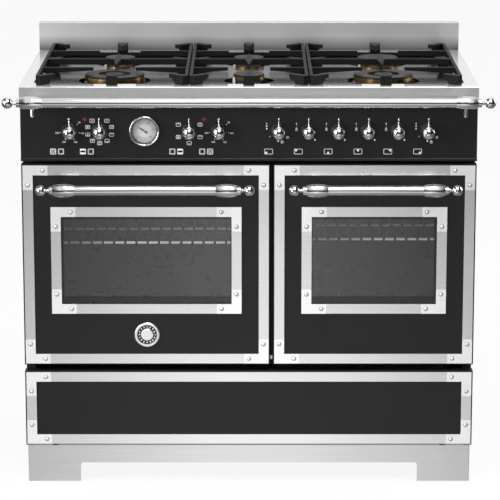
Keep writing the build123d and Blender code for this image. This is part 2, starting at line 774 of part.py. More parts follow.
def bowls(grow=0.0):
    """The burners' round bowls, as solids that reach above the rim."""
    return [upright(burner.x, burner.y, BOWL_FLOOR - grow, HOB_TOP + CUT_PAST, burner.bowl + grow)
            for burner in BURNERS]


def worktop():
    """Pressed steel top: rim, recess, burner bowls and a turned-down edge."""
    outside = block(-HALF_HOB, HALF_HOB, 0, HOB_DEPTH, PANEL_TOP, HOB_TOP)
    outside = fillet(outside.edges().group_by(Axis.Z)[-1], EDGE_ROUND)
    inner_half = HALF_HOB - SHEET
    inside = block(-inner_half, inner_half, SHEET, HOB_DEPTH - SHEET, PANEL_TOP - CUT_PAST, HOB_TOP - SHEET)
    inside = inside - recess(SHEET) - bowls(SHEET)
    return outside - recess() - bowls() - inside


def upstand():
    """Low hollow backsplash on the worktop's rear rim."""
    front = HOB_DEPTH - UPSTAND_DEPTH
    shell = tray(-HALF_HOB, HALF_HOB, front, HOB_DEPTH, HOB_TOP, HOB_TOP + UPSTAND_HEIGHT, "-z")
    top = shell.edges().group_by(Axis.Z)[-1]
    return fillet(top, UPSTAND_ROUND)


def ports(radius, level):
    """Flame slots round a burner head, as solids to cut."""
    count = int(2 * pi * radius / PORT_PITCH)
    slot = Box(2 * PORT_DEPTH, PORT_WIDTH, PORT_HEIGHT)
    return [Rot(0, 0, step * 360 / count) * Pos(radius, 0, level) * slot for step in range(count)]


def at_burner(burner, level, shape):
    """Place a piece turned about Y so that it stands on a burner's axis at a level."""
    return Pos(burner.x, burner.y, level) * Rot(90, 0, 0) * shape


def cup_top():
    """Level of the seats between the burner cups and heads."""
    return BOWL_FLOOR + CUP_HEIGHT


def burner_cups():
    """Cast cups that stand in the bowls and carry the heads."""
    cups = []
    for burner in BURNERS:
        radius = burner.radius - CUP_INSET
        cup = turned_steps((0, 0), (radius, 0), (radius - CUP_INSET, CUP_HEIGHT / 2),
                           (radius, CUP_HEIGHT), (0, CUP_HEIGHT))
        cups.append(at_burner(burner, BOWL_FLOOR, cup))
    return cups


def burner_head(radius, hole=0.0):
    """Brass head with a waist, flame slots and an optional hole through it."""
    head = turned_steps((hole, 0), (radius - HEAD_TAPER, 0), (radius, HEAD_TAPER_HEIGHT),
                        (radius, HEAD_HEIGHT), (hole, HEAD_HEIGHT))
    return Rot(90, 0, 0) * head - ports(radius, PORT_LEVEL)


def burner_heads():
    """Brass heads; a double burner has an outer ring and an inner head."""
    heads = []
    for burner in BURNERS:
        seat = Pos(burner.x, burner.y, cup_top())
        if burner.double:
            heads.append(seat * burner_head(burner.radius, RING_HOLE_RADIUS + RING_CAP_OVERHANG))
            heads.append(seat * burner_head(INNER_CAP_RADIUS - INNER_CAP_OVERHANG))
        else:
            heads.append(seat * burner_head(burner.radius))
    return heads


def burner_cap(radius, hole=0.0):
    """Enamelled cap with a rounded rim, as a disc or a ring."""
    edge = [Line((hole, 0), (radius, 0)), Line((radius, 0), (radius, CAP_HEIGHT - CAP_ROUND)),
            RadiusArc((radius, CAP_HEIGHT - CAP_ROUND), (radius - CAP_ROUND, CAP_HEIGHT), -CAP_ROUND),
            Line((radius - CAP_ROUND, CAP_HEIGHT), (hole, CAP_HEIGHT))]
    return turned(*edge)


def burner_caps():
    """Caps on every head."""
    caps = []
    level = cup_top() + HEAD_HEIGHT
    for burner in BURNERS:
        if burner.double:
            caps.append(at_burner(burner, level, burner_cap(burner.radius, RING_HOLE_RADIUS)))
            caps.append(at_burner(burner, level, burner_cap(INNER_CAP_RADIUS)))
        else:
            caps.append(at_burner(burner, level, burner_cap(burner.radius)))
    return caps


def igniters():
    """Ceramic spark pins beside the heads; a double burner's stands inside its ring."""
    pins = []
    for burner in BURNERS:
        if burner.double:
            reach = (INNER_CAP_RADIUS + RING_HOLE_RADIUS) / 2
            turn, base = radians(DOUBLE_IGNITER_TURN), cup_top()
            rise = HEAD_HEIGHT
        else:
            reach = burner.radius + IGNITER_GAP + IGNITER_RADIUS
            turn, base = radians(IGNITER_TURN), BOWL_FLOOR
            rise = IGNITER_RISE
        glaze = rise - IGNITER_TIP
        pin = turned_steps((0, 0), (IGNITER_RADIUS, 0), (IGNITER_RADIUS, glaze), (IGNITER_TIP_RADIUS, glaze),
                           (IGNITER_TIP_RADIUS, rise), (0, rise))
        pins.append(Pos(reach * cos(turn), reach * sin(turn), 0) * at_burner(burner, base, pin))
    return pins


def diagonal_foot(x, y, turn, bottom):
    """Block foot set slantwise across a corner, cut away under its inner end."""
    height = HOB_TOP + GRATE_HEIGHT - bottom
    foot = Pos(GRATE_FOOT_LENGTH / 2, 0, height / 2) * Box(GRATE_FOOT_LENGTH, GRATE_FOOT_WIDTH, height)
    arch = height - GRATE_FOOT_NOTCH
    notch = prism([(GRATE_FOOT_SEAT, 0), (GRATE_FOOT_LENGTH, 0), (GRATE_FOOT_LENGTH, arch),
                   (GRATE_FOOT_SEAT + GRATE_FOOT_ARCH, arch)], Plane.XZ, 2 * GRATE_FOOT_WIDTH)
    return Pos(x, y, bottom) * Rot(0, 0, turn) * (foot - notch)


def grate(x0, x1):
    """Cast-iron pan support over one column of burners."""
    top = HOB_TOP + GRATE_HEIGHT
    middle_x, middle_y = (x0 + x1) / 2, (FRONT_ROW + BACK_ROW) / 2
    rail_inset = GRATE_FOOT_WIDTH / 2
    pieces = []
    for x in (x0, x1 - GRATE_RAIL):
        pieces.append(block(x, x + GRATE_RAIL, GRATE_FRONT + rail_inset, GRATE_REAR - rail_inset,
                            top - GRATE_RAIL_HEIGHT, top))
    for row in (FRONT_ROW, BACK_ROW):
        across = Plane((0, row, 0), x_dir=(1, 0, 0), z_dir=(0, -1, 0))
        for root, tip in ((x0 + GRATE_RAIL / 2, middle_x - BURNER_CLEARANCE),
                          (x1 - GRATE_RAIL / 2, middle_x + BURNER_CLEARANCE)):
            outline = [(root, top), (tip, top), (tip, top - BAR_TIP), (root, top - BAR_ROOT)]
            pieces.append(prism(outline, across, GRATE_BAR))
    pieces.append(block(x0 + GRATE_RAIL / 2, x1 - GRATE_RAIL / 2, middle_y - GRATE_BAR / 2,
                        middle_y + GRATE_BAR / 2, top - BAR_ROOT, top))
    half = DIAMOND_WIDTH / 2
    diamond = [(middle_x, middle_y - DIAMOND_HALF_LENGTH), (middle_x + half, middle_y),
               (middle_x, middle_y + DIAMOND_HALF_LENGTH), (middle_x - half, middle_y)]
    pieces.append(prism(diamond, Plane.XY.offset(top - BAR_ROOT / 2), BAR_ROOT))
    pieces += wedge_finger(middle_x, top, GRATE_FRONT, 1) + wedge_finger(middle_x, top, GRATE_REAR, -1)
    inset = GRATE_FOOT_INSET
    hook = GRATE_FOOT_WIDTH / 2
    for y, reach in ((FRONT_RIM + TIE_GAP, FRONT_RIM - GRATE_FRONT),
                     (RECESS_REAR - TIE_GAP - TIE_WIDTH, GRATE_REAR - RECESS_REAR)):
        tie0, tie1 = x0 + reach, x1 - reach
        pieces.append(block(tie0, tie1, y, y + TIE_WIDTH, HOB_TOP - TIE_HEIGHT, HOB_TOP - TIE_SINK))
        for x in (tie0, tie1 - hook):
            pieces.append(block(x, x + hook, y, y + TIE_WIDTH, HOB_TOP - TIE_HEIGHT, top - BAR_TIP))
    for x, y, turn in ((x0 + inset, GRATE_FRONT + inset, 45), (x1 - inset, GRATE_FRONT + inset, 135),
                       (x0 + inset, GRATE_REAR - inset, -45), (x1 - inset, GRATE_REAR - inset, -135)):
        pieces.append(diagonal_foot(x, y, turn, HOB_TOP))
    for x, turn in ((x0 + inset, MIDDLE_FOOT_TURN), (x1 - inset, 180 - MIDDLE_FOOT_TURN)):
        pieces.append(diagonal_foot(x, middle_y, turn, RECESS_FLOOR))
    outline = block(x0, x1, GRATE_FRONT, GRATE_REAR, RECESS_FLOOR, top)
    return (Part() + pieces) & outline


def wedge_finger(x, top, end, inward):
    """Pointed finger over a burner with a foot on the rim and a hook down to the tie bar behind it."""
    half = WEDGE_WIDTH / 2
    point = [(x - half, end), (x + half, end), (x + half, end + inward * WEDGE_FOOT),
             (x, end + inward * WEDGE_LENGTH), (x - half, end + inward * WEDGE_FOOT)]
    finger = prism(point, Plane.XY.offset(top - BAR_ROOT / 2), BAR_ROOT)
    y0, y1 = sorted((end, end + inward * WEDGE_FOOT))
    foot = block(x - half, x + half, y0, y1, HOB_TOP, top)
    tie = FRONT_RIM + TIE_GAP if inward > 0 else RECESS_REAR - TIE_GAP - TIE_WIDTH
    hook = block(x - half / 2, x + half / 2, tie, tie + TIE_WIDTH, HOB_TOP - TIE_HEIGHT, top - BAR_TIP)
    return [finger, foot, hook]


def grate_limits():
    """Left and right limits of the three pan supports."""
    half = CENTRE_GRATE_WIDTH / 2
    inner = half + GRATE_SPACE
    return {"left_grate": (-GRATE_HALF_SPAN, -inner), "centre_grate": (-half, half),
            "right_grate": (inner, GRATE_HALF_SPAN)}


# Turned handles and the towel rail


def turned_bar(half_span, bar_radius):
    """Bar along X with barrel ferrules, collars, beads and balls; half_span reaches the balls' centres."""
    ball = bar_radius + BALL_OVER_BAR
    collar = bar_radius - COLLAR_UNDER_BAR
    barrel_end = bar_radius + BARREL_END_OVER_BAR
    barrel = bar_radius + FERRULE_OVER_BAR
    bead_at = half_span - ball - BEAD_RADIUS + BEAD_SINK
    collar_end = bead_at - BEAD_RADIUS + BEAD_SINK
    barrel_stop = collar_end - COLLAR_LENGTH
    barrel_start = barrel_stop - BARREL_LENGTH
    barrel_middle = (barrel_start + barrel_stop) / 2
    half = turned(
        Polyline((0, 0), (bar_radius, 0), (bar_radius, barrel_start), (barrel_end, barrel_start)),
        ThreePointArc((barrel_end, barrel_start), (barrel, barrel_middle), (barrel_end, barrel_stop)),
        Polyline((barrel_end, barrel_stop), (collar, barrel_stop), (collar, collar_end),
                 (NECK_RADIUS, collar_end), (NECK_RADIUS, half_span), (0, half_span)))
    end = Rot(0, 0, -90) * half
    end += Pos(bead_at, 0, 0) * Sphere(BEAD_RADIUS)
    end += Pos(half_span, 0, 0) * Sphere(ball)
    return end + mirror(end, Plane.YZ), barrel_middle


def handle_post(x, wall, axis_y, z, bar):
    """Post with a rosette on the wall, ending on the bar."""
    post = rod((x, wall, z), (x, axis_y, z), POST_RADIUS)
    rosette = rod((x, wall, z), (x, wall - ROSETTE, z), ROSETTE_RADIUS)
    return post + rosette - bar


def door_handle(door):
    """Turned handle across a door on two posts."""
    bar, post_at = turned_bar((door.right - door.left) / 2 - HANDLE_INSET, HANDLE_BAR_RADIUS)
    axis_y, z = FACE - HANDLE_STANDOFF, DOOR_TOP - HANDLE_DROP
    bar = Pos(door.middle, axis_y, z) * bar
    return [bar] + [handle_post(door.middle + side * post_at, FACE, axis_y, z, bar) for side in (-1, 1)]


def towel_rail():
    """Rail along the hob's front with a small drop finial under each ferrule."""
    bar, _ = turned_bar(RAIL_HALF_SPAN, RAIL_BAR_RADIUS)
    z = HOB_TOP - RAIL_DROP
    bar = Pos(0, -RAIL_STANDOFF, z) * bar
    for side in (-1, 1):
        x = side * RAIL_POST_X
        bar += upright(x, -RAIL_STANDOFF, z - DROP_LENGTH, z, DROP_RADIUS)
        bar += Pos(x, -RAIL_STANDOFF, z - DROP_LENGTH) * Sphere(DROP_RADIUS)
    return [bar] + [handle_post(side * RAIL_POST_X, 0, -RAIL_STANDOFF, z, bar) for side in (-1, 1)]


# Riveted trims


def rivet(x, z, seat):
    """Domed rivet head on a plate's face."""
    ball = (RIVET_RADIUS**2 + RIVET_RISE**2) / (2 * RIVET_RISE)
    dome = Pos(0, ball - RIVET_RISE, 0) * Sphere(ball) & block(-ball, ball, -ball, 0, -ball, ball)
    return Pos(x, seat, z) * dome


def trim_frame(x0, x1, z0, z1):
    """Four flat strips butted against four riveted corner plates."""
    width, arm = TRIM_WIDTH, TRIM_ARM
    strip_front, plate_front = FACE - TRIM_STRIP, FACE - TRIM_PLATE
    solids = []
    for z in (z0, z1 - width):
        solids.append(plate(x0 + arm, x1 - arm, z, z + width, strip_front, TRIM_STRIP))
    for x in (x0, x1 - width):
        solids.append(plate(x, x + width, z0 + arm, z1 - arm, strip_front, TRIM_STRIP))
    for x, inward_x in ((x0, 1), (x1, -1)):
        for z, inward_z in ((z0, 1), (z1, -1)):
            flat = sorted((x, x + inward_x * arm)) + sorted((z, z + inward_z * width))
            tall = sorted((x, x + inward_x * width)) + sorted((z, z + inward_z * arm))
            solids.append(plate(*flat, plate_front, TRIM_PLATE) + plate(*tall, plate_front, TRIM_PLATE))
            solids.append(rivet(x + inward_x * RIVET_ALONG, z + inward_z * width / 2, plate_front))
            solids.append(rivet(x + inward_x * width / 2, z + inward_z * RIVET_ALONG, plate_front))
    return solids


def door_trim(door):
    """Trims round a door's edge and its window."""
    inset = TRIM_INSET
    edge = trim_frame(door.left + inset, door.right - inset, DOOR_BOTTOM + inset, DOOR_TOP - inset)
    return edge + trim_frame(*door.window())


def roundel():
    """Plain turned disc with raised rings, low on the main door."""
    dish, crest = ROUNDEL_DISH_RISE, ROUNDEL_RISE
    rim_out = ROUNDEL_RADIUS - ROUNDEL_RIM_SLOPE
    rim_in = rim_out - ROUNDEL_RIM
    boss = ROUNDEL_BOSS_RADIUS
    rings = turned_steps((0, 0), (ROUNDEL_RADIUS, 0), (ROUNDEL_RADIUS, dish), (rim_out, crest),
                         (rim_in, crest), (rim_in - ROUNDEL_DISH_SLOPE, dish), (boss, dish),
                         (boss - ROUNDEL_BOSS_SLOPE, crest), (0, crest))
    return Pos(MAIN_DOOR.middle, FACE, DOOR_BOTTOM + ROUNDEL_HEIGHT) * Rot(180, 0, 0) * rings


# Doors


def hinge_slots(door):
    """Room in a door for the fixed arms to swing, as solids to cut."""
    half = HINGE_ARM / 2 + HINGE_SLOT_ROOM
    reach = HINGE_EYE_RADIUS + HINGE_SLOT_ROOM
    return [block(x - half, x + half, HINGE_Y - reach, DOOR_BACK + CUT_PAST, DOOR_BOTTOM - CUT_PAST,
                  HINGE_Z + reach) for x in door.hinges()]


def door_skin(door):
    """Folded outer pan of a door with its window opening."""
    pan = tray(door.left, door.right, FACE, SKIN_BACK, DOOR_BOTTOM, DOOR_TOP, "+y")
    opening = plate(*door.window(TRIM_LAP), FACE - CUT_PAST, SHEET + 2 * CUT_PAST)
    return pan - opening - hinge_slots(door)


def door_liner(door):
    """Inner pressing: a flange that closes the pan and a raised field towards the oven."""
    flange = plate(door.left + LINER_INSET, door.right - LINER_INSET, DOOR_BOTTOM + LINER_INSET,
                   DOOR_TOP - LINER_INSET, SKIN_BACK, SHEET)
    x0, x1 = door.left + LINER_SIDE, door.right - LINER_SIDE
    z0, z1 = HINGE_Z - HINGE_BELOW, DOOR_TOP - LINER_TOP
    field = plate(x0, x1, z0, z1, SKIN_BACK, DOOR_BACK - SKIN_BACK)
    hollow = plate(x0 + SHEET, x1 - SHEET, z0 + SHEET, z1 - SHEET, SKIN_BACK - CUT_PAST,
                   DOOR_BACK - SKIN_BACK - SHEET + CUT_PAST)
    opening = plate(*door.window(TRIM_LAP), DOOR_BACK - 2 * SHEET, 3 * SHEET)
    return flange + field - hollow - opening - hinge_slots(door)


def door_glass(door):
    """Outer pane behind the skin and inner pane behind the liner."""
    limits = door.window(TRIM_LAP - PANE_LAP)
    outer = plate(*limits, FACE + SHEET, PANE)
    inner = plate(*limits, DOOR_BACK - SHEET - PANE, PANE)
    return [outer, inner]


def door_hinges(door):
    """Two clevises inside a door, each with the pin that turns in a fixed arm."""
    clevises = []
    gap = HINGE_ARM / 2 + HINGE_SIDE_GAP
    front, back = FACE + SHEET, HINGE_Y + HINGE_EYE_RADIUS
    low, high = HINGE_Z - HINGE_EYE_RADIUS, HINGE_Z + HINGE_CHEEK_HEIGHT
    web_low = HINGE_Z + HINGE_EYE_RADIUS + HINGE_SLOT_ROOM
    for x in door.hinges():
        outline = [(front, low), (back, low), (back, HINGE_Z + HINGE_EYE_RADIUS), (front + HINGE_CHEEK, high),
                   (front, high)]
        cheek = prism(outline, Plane.YZ, HINGE_CHEEK)
        reach = gap + HINGE_CHEEK
        clevis = Pos(x - gap - HINGE_CHEEK / 2, 0, 0) * cheek + Pos(x + gap + HINGE_CHEEK / 2, 0, 0) * cheek
        clevis += block(x - reach, x + reach, front, front + HINGE_CHEEK, web_low, high)
        clevis += rod((x - reach, HINGE_Y, HINGE_Z), (x + reach, HINGE_Y, HINGE_Z), HINGE_PIN_RADIUS)
        clevises.append(clevis)
    return clevises


# Drawer


def drawer_front():
    """Folded front pan of the drawer."""
    return tray(-HALF_BODY, HALF_BODY, FACE, SKIN_BACK, DRAWER_BOTTOM, DRAWER_TOP, "+y")


def drawer_trim():
    """Trim round the drawer front."""
    inset = TRIM_INSET
    return trim_frame(-HALF_BODY + inset, HALF_BODY - inset, DRAWER_BOTTOM + inset, DRAWER_TOP - inset)


def drawer_box():
    """Sheet tray behind the drawer front, with an apron that the front is fixed to."""
    half, base = drawer_half(), drawer_base()
    box = tray(-half, half, SKIN_BACK, SKIN_BACK + DRAWER_LENGTH, base, base + DRAWER_WALL_HEIGHT, "+z")
    apron = plate(-HALF_BODY + LINER_INSET, HALF_BODY - LINER_INSET, DRAWER_BOTTOM + LINER_INSET,
                  DRAWER_TOP - LINER_INSET, SKIN_BACK, SHEET)
    return box + apron


# Controls


def knob_x(column):
    """Place across the panel of a knob column."""
    return column * KNOB_PITCH


def control_panel():
    """Folded panel with a rounded lower lip, knob holes, lamp holes and the thermometer's hole."""
    panel = tray(-HALF_BODY, HALF_BODY, FACE, FRAME_FRONT, PANEL_BOTTOM, PANEL_TOP, "+y")
    lip_z = PANEL_BOTTOM + LIP_RADIUS
    lip = rod((-HALF_BODY, FACE, lip_z), (HALF_BODY, FACE, lip_z), LIP_RADIUS)
    panel += lip - block(-HALF_BODY, HALF_BODY, FACE + SHEET, FACE + 2 * LIP_RADIUS, PANEL_BOTTOM,
                         PANEL_BOTTOM + 2 * LIP_RADIUS)
    holes = [(knob_x(column), KNOB_Z, STEM_RADIUS + STEM_HOLE_ROOM) for column in knob_columns()]
    holes += [(knob_x(column), KNOB_Z + LAMP_RISE, LAMP_RADIUS + SEAT_GAP) for column in LAMP_COLUMNS]
    holes.append((knob_x(GAUGE_COLUMN), KNOB_Z, GAUGE_CUP_RADIUS + SEAT_GAP))
    return panel - [rod((x, FACE - SHEET, z), (x, FACE + 2 * SHEET, z), radius) for x, z, radius in holes]


def knob_columns():
    """Columns of all ten knobs."""
    return list(OVEN_KNOBS.values()) + list(range(1, GAS_KNOBS + 1))


def knob():
    """Onion-shaped grip with a turned finial, on a round skirt and a bored neck; its axis is Y."""
    back = -KNOB_PANEL_GAP
    skirt_front = back - KNOB_SKIRT
    axis_y = -KNOB_REACH
    skirt = turned_steps((0, back), (KNOB_SKIRT_RADIUS, back),
                         (KNOB_SKIRT_RADIUS - KNOB_SKIRT_SLOPE, skirt_front), (0, skirt_front))
    neck = turned_steps((0, skirt_front), (KNOB_NECK_ROOT, skirt_front), (KNOB_NECK_TIP, axis_y), (0, axis_y))
    onion = turned(
        ThreePointArc((0, -ONION_BELOW), (ONION_BELLY_RADIUS, -ONION_BELLY), (ONION_RADIUS, -ONION_WAIST)),
        Spline((ONION_RADIUS, -ONION_WAIST), (ONION_SHOULDER_RADIUS, ONION_SHOULDER),
               (FINIAL_NECK, ONION_ABOVE), tangents=((0, 1), (-0.3, 1))),
        Polyline((FINIAL_NECK, ONION_ABOVE), (FINIAL_NECK, FINIAL_REACH - FINIAL_BALL),
                 (0, FINIAL_REACH - FINIAL_BALL)))
    bead_at = (ONION_ABOVE + FINIAL_REACH - 2 * FINIAL_BALL) / 2
    grip = Rot(90, 0, 0) * onion
    grip += Pos(0, 0, bead_at) * Sphere(FINIAL_BEAD)
    grip += Pos(0, 0, FINIAL_REACH - FINIAL_BALL) * Sphere(FINIAL_BALL)
    whole = skirt + neck + Pos(0, axis_y, 0) * grip
    bore_end = -STEM_LENGTH - STEM_END_ROOM
    return whole - rod((0, CUT_PAST, 0), (0, bore_end, 0), STEM_RADIUS + RUNNING_GAP)


def placed_knob(column):
    """A knob in its place on the panel."""
    return Pos(knob_x(column), FACE, KNOB_Z) * knob()


def valves_and_switches():
    """Round bodies on the panel's back whose stems carry the knobs."""
    seat = SHEET
    shoulder = seat + VALVE_COLLAR
    body = turned_steps((0, -STEM_LENGTH), (STEM_RADIUS, -STEM_LENGTH), (STEM_RADIUS, seat),
                        (VALVE_COLLAR_RADIUS, seat), (VALVE_COLLAR_RADIUS, shoulder),
                        (VALVE_RADIUS, shoulder), (VALVE_RADIUS, shoulder + VALVE_LENGTH),
                        (0, shoulder + VALVE_LENGTH))
    return [Pos(knob_x(column), FACE, KNOB_Z) * body for column in knob_columns()]


def manifold_z():
    """Level of the gas pipe, under the valves."""
    return KNOB_Z - VALVE_RADIUS - PIPE_RADIUS


def gas_manifold():
    """Gas pipe under the valves, along one side to a threaded inlet behind the back panel."""
    y = FACE + SHEET + VALVE_COLLAR + VALVE_LENGTH / 2
    z = manifold_z()
    rear = REAR + SHEET
    corners = [(knob_x(1) - VALVE_RADIUS, y, z), (PIPE_SIDE, y, z), (PIPE_SIDE, rear, z)]
    path = FilletPolyline(*corners, radius=PIPE_BEND)
    pipe = sweep(Plane(corners[0], z_dir=(1, 0, 0)) * Circle(PIPE_RADIUS), path=path)
    inlet = rod((PIPE_SIDE, rear, z), (PIPE_SIDE, rear + INLET_LENGTH, z), INLET_RADIUS)
    return pipe + inlet


def at_gauge(shape):
    """Place a piece turned about Y on the thermometer's axis, with its zero on the panel's face."""
    return Pos(knob_x(GAUGE_COLUMN), FACE, KNOB_Z) * shape


def gauge_case():
    """Thermometer body: bezel, dial, pivot and the cup behind the panel."""
    inner = GAUGE_RADIUS - GAUGE_BEZEL
    dial = -DIAL_LIFT
    pivot = dial - GAUGE_PIVOT_LENGTH
    lip = (inner, BEZEL_INNER_FALL - GAUGE_RISE)
    edge = (GAUGE_RADIUS, BEZEL_OUTER_FALL - GAUGE_RISE)
    return at_gauge(turned(
        Polyline((0, pivot), (GAUGE_PIVOT_RADIUS, pivot), (GAUGE_PIVOT_RADIUS, dial), (inner, dial), lip),
        ThreePointArc(lip, (inner + BEZEL_CREST, -GAUGE_RISE), edge),
        Polyline(edge, (GAUGE_RADIUS, 0), (GAUGE_CUP_RADIUS, 0), (GAUGE_CUP_RADIUS, GAUGE_CUP_DEPTH),
                 (0, GAUGE_CUP_DEPTH))))


def gauge_glass():
    """Round glass held in the bezel."""
    front = GLASS_SINK - GAUGE_RISE
    back = front + GAUGE_GLASS
    radius = GAUGE_RADIUS - GAUGE_BEZEL - SEAT_GAP / 2
    return at_gauge(turned_steps((0, front), (radius, front), (radius, back), (0, back)))


def gauge_needle():
    """Pointer with a broad tail that turns on the dial's pivot."""
    level, half = -NEEDLE_LIFT, NEEDLE_HALF_WIDTH
    outline = [(NEEDLE_LENGTH, 0), (0, half), (-NEEDLE_TAIL, half), (-NEEDLE_TAIL, -half), (0, -half)]
    blade = prism(outline, Plane((0, level, 0), x_dir=(1, 0, 0), z_dir=(0, -1, 0)), NEEDLE)
    blade -= rod((0, level - CUT_PAST, 0), (0, level + CUT_PAST, 0), GAUGE_PIVOT_RADIUS + RUNNING_GAP)
    return at_gauge(Rot(0, -NEEDLE_ANGLE, 0) * blade)


def indicator_lamps():
    """Two small domed pilot lamps."""
    lamp = rod((0, LAMP_DEPTH, 0), (0, 0, 0), LAMP_RADIUS) + Sphere(LAMP_RADIUS)
    return [Pos(knob_x(column), FACE, KNOB_Z + LAMP_RISE) * lamp for column in LAMP_COLUMNS]


def nodes():
    """Every node's name with its solid or list of solids."""
    parts = {
        "side_panels": side_panels(),
        "back_panel": back_panel(),
        "base_panel": base_panel(),
        "drawer_runners": drawer_runners(),
        "oven_deck": oven_deck(),
        "front_frame": front_frame(),
        "plinth": plinth(),
        "levelling_feet": levelling_feet(),
        "main_oven_cavity": main_oven_cavity(),
        "small_oven_cavity": oven_cavity(SMALL_DOOR),
        "oven_door_seals": oven_door_seals(),
        "shelf_side_racks": shelf_side_racks(),
        "oven_shelves": oven_shelves(),
        "grill_elements": grill_elements(),
        "fan_cover": fan_cover(),
        "fan_motor": fan_motor(),
        "fan_impeller": fan_impeller(),
        "hinge_arms": hinge_arms(),
        "worktop": worktop(),
        "upstand": upstand(),
        "burner_cups": burner_cups(),
        "burner_heads": burner_heads(),
        "burner_caps": burner_caps(),
        "igniters": igniters(),
        "towel_rail": towel_rail(),
        "control_panel": control_panel(),
        "valves_and_switches": valves_and_switches(),
        "gas_manifold": gas_manifold(),
        "gauge_case": gauge_case(),
        "gauge_glass": gauge_glass(),
        "gauge_needle": gauge_needle(),
        "indicator_lamps": indicator_lamps(),
        "drawer_front": drawer_front(),
        "drawer_trim": drawer_trim(),
        "drawer_box": drawer_box(),
    }
    for name, limits in grate_limits().items():
        parts[name] = grate(*limits)
    for name, column in OVEN_KNOBS.items():
        parts[name] = placed_knob(column)
    for number in range(1, GAS_KNOBS + 1):
        parts[f"gas_knob_{number}"] = placed_knob(number)
    for name, door in DOORS.items():
        parts[f"{name}_door_skin"] = door_skin(door)
        parts[f"{name}_door_trim"] = door_trim(door)
        parts[f"{name}_door_glass"] = door_glass(door)
        parts[f"{name}_door_liner"] = door_liner(door)
        parts[f"{name}_door_handle"] = door_handle(door)
        parts[f"{name}_door_hinges"] = door_hinges(door)
    parts["main_door_trim"].append(roundel())
    return parts


def write_node(name, shape):
    """Move a node into the part's frame and write it as one STEP file."""
    solids = shape if isinstance(shape, list) else [shape]
    placed = [Pos(0, ROW_SHIFT, 0) * solid for solid in solids]
    export_step(placed[0] if len(placed) == 1 else Compound(children=placed), f"parts/{name}.step")


os.makedirs("parts", exist_ok=True)
for node_name, node_shape in nodes().items():
    write_node(node_name, node_shape)
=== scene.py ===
"""Range cooker: finishes, printed marks, dial, glass borders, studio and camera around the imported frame."""

import json
import logging
import math
from collections.abc import Callable, Iterator
from contextlib import contextmanager
from dataclasses import dataclass
from enum import Enum

import bpy
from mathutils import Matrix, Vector

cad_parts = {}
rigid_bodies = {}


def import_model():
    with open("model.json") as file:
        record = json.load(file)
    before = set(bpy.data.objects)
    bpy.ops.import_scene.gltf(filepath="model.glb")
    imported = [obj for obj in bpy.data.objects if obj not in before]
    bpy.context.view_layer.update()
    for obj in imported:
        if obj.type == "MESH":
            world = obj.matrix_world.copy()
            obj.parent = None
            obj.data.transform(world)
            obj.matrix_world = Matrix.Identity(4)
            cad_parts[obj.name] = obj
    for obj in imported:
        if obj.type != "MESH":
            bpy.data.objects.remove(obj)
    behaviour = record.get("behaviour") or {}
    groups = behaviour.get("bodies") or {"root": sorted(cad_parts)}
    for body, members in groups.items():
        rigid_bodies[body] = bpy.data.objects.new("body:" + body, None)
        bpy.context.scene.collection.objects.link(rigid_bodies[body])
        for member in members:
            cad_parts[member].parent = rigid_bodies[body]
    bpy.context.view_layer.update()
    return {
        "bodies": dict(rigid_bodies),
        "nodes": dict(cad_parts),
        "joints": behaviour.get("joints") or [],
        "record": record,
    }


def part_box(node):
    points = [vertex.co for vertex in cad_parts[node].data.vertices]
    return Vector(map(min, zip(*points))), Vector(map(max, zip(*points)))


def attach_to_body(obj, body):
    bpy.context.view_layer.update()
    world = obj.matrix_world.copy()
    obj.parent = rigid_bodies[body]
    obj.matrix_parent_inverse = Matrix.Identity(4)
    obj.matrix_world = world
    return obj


LOG = logging.getLogger("range_cooker")
MM = 0.001
TRIM_WIDTH = 22.0 * MM
UPRIGHT = (math.pi / 2, 0.0, 0.0)
NOISE_RANGE = (0.3, 0.7)
FEW_OCTAVES = 2.0
Socket = bpy.types.NodeSocket
Piece = bpy.types.Object
Material = bpy.types.Material
Frame = dict
Pair = tuple[float, float]
Triple = tuple[float, float, float]
Look = tuple[tuple[str, ...], Material, float]


# Modelling helpers


class Select(Enum):
    """What edit mode's selection holds."""

    POINTS = (True, False, False)
    FACES = (False, False, True)


def clear_selection() -> None:
    """Deselect every object, so that an operator acts only on what is picked next."""
    bpy.ops.object.select_all(action="DESELECT")


def pick(piece: Piece) -> None:
    """Select one piece alone and make it the active one.

    Args:
        piece: The object to work on.
    """
    clear_selection()
    piece.select_set(True)
    bpy.context.view_layer.objects.active = piece


@contextmanager
def edit_mode(kind: Select = Select.FACES, everything: bool = True) -> Iterator[None]:
    """Work on the active piece in edit mode.

    Args:
        kind: What the selection holds.
        everything: Whether all of the piece is selected first.

    Yields:
        Nothing, while edit mode is on.
    """
    bpy.context.tool_settings.mesh_select_mode = kind.value
    bpy.ops.object.mode_set(mode="EDIT")
    if everything:
        bpy.ops.mesh.select_all(action="SELECT")
    yield
    bpy.ops.object.mode_set(mode="OBJECT")


def apply_place(piece: Piece) -> None:
    """Move a piece's place, turn and scale into its mesh."""
    pick(piece)
    bpy.ops.object.transform_apply(location=True, rotation=True, scale=True)


def select_faces(piece: Piece, test: Callable[[bpy.types.MeshPolygon], bool]) -> None:
    """Leave edit mode's selection on the faces that pass a test. Call it in object mode.

    Args:
        piece: The mesh object.
        test: Says for a face whether it is selected.
    """
    with edit_mode():
        bpy.ops.mesh.select_all(action="DESELECT")
    for face in piece.data.polygons:
        face.select = test(face)


def use_modifier(piece: Piece, kind: str, **settings: object) -> None:
    """Add a modifier to a piece and apply it at once.

    Args:
        piece: The mesh object.
        kind: Blender's name of the modifier's type.
        settings: The modifier's own values.
    """
    pick(piece)
    modifier = piece.modifiers.new(kind.lower(), kind)
    for name, value in settings.items():
        setattr(modifier, name, value)
    bpy.ops.object.modifier_apply(modifier=modifier.name)


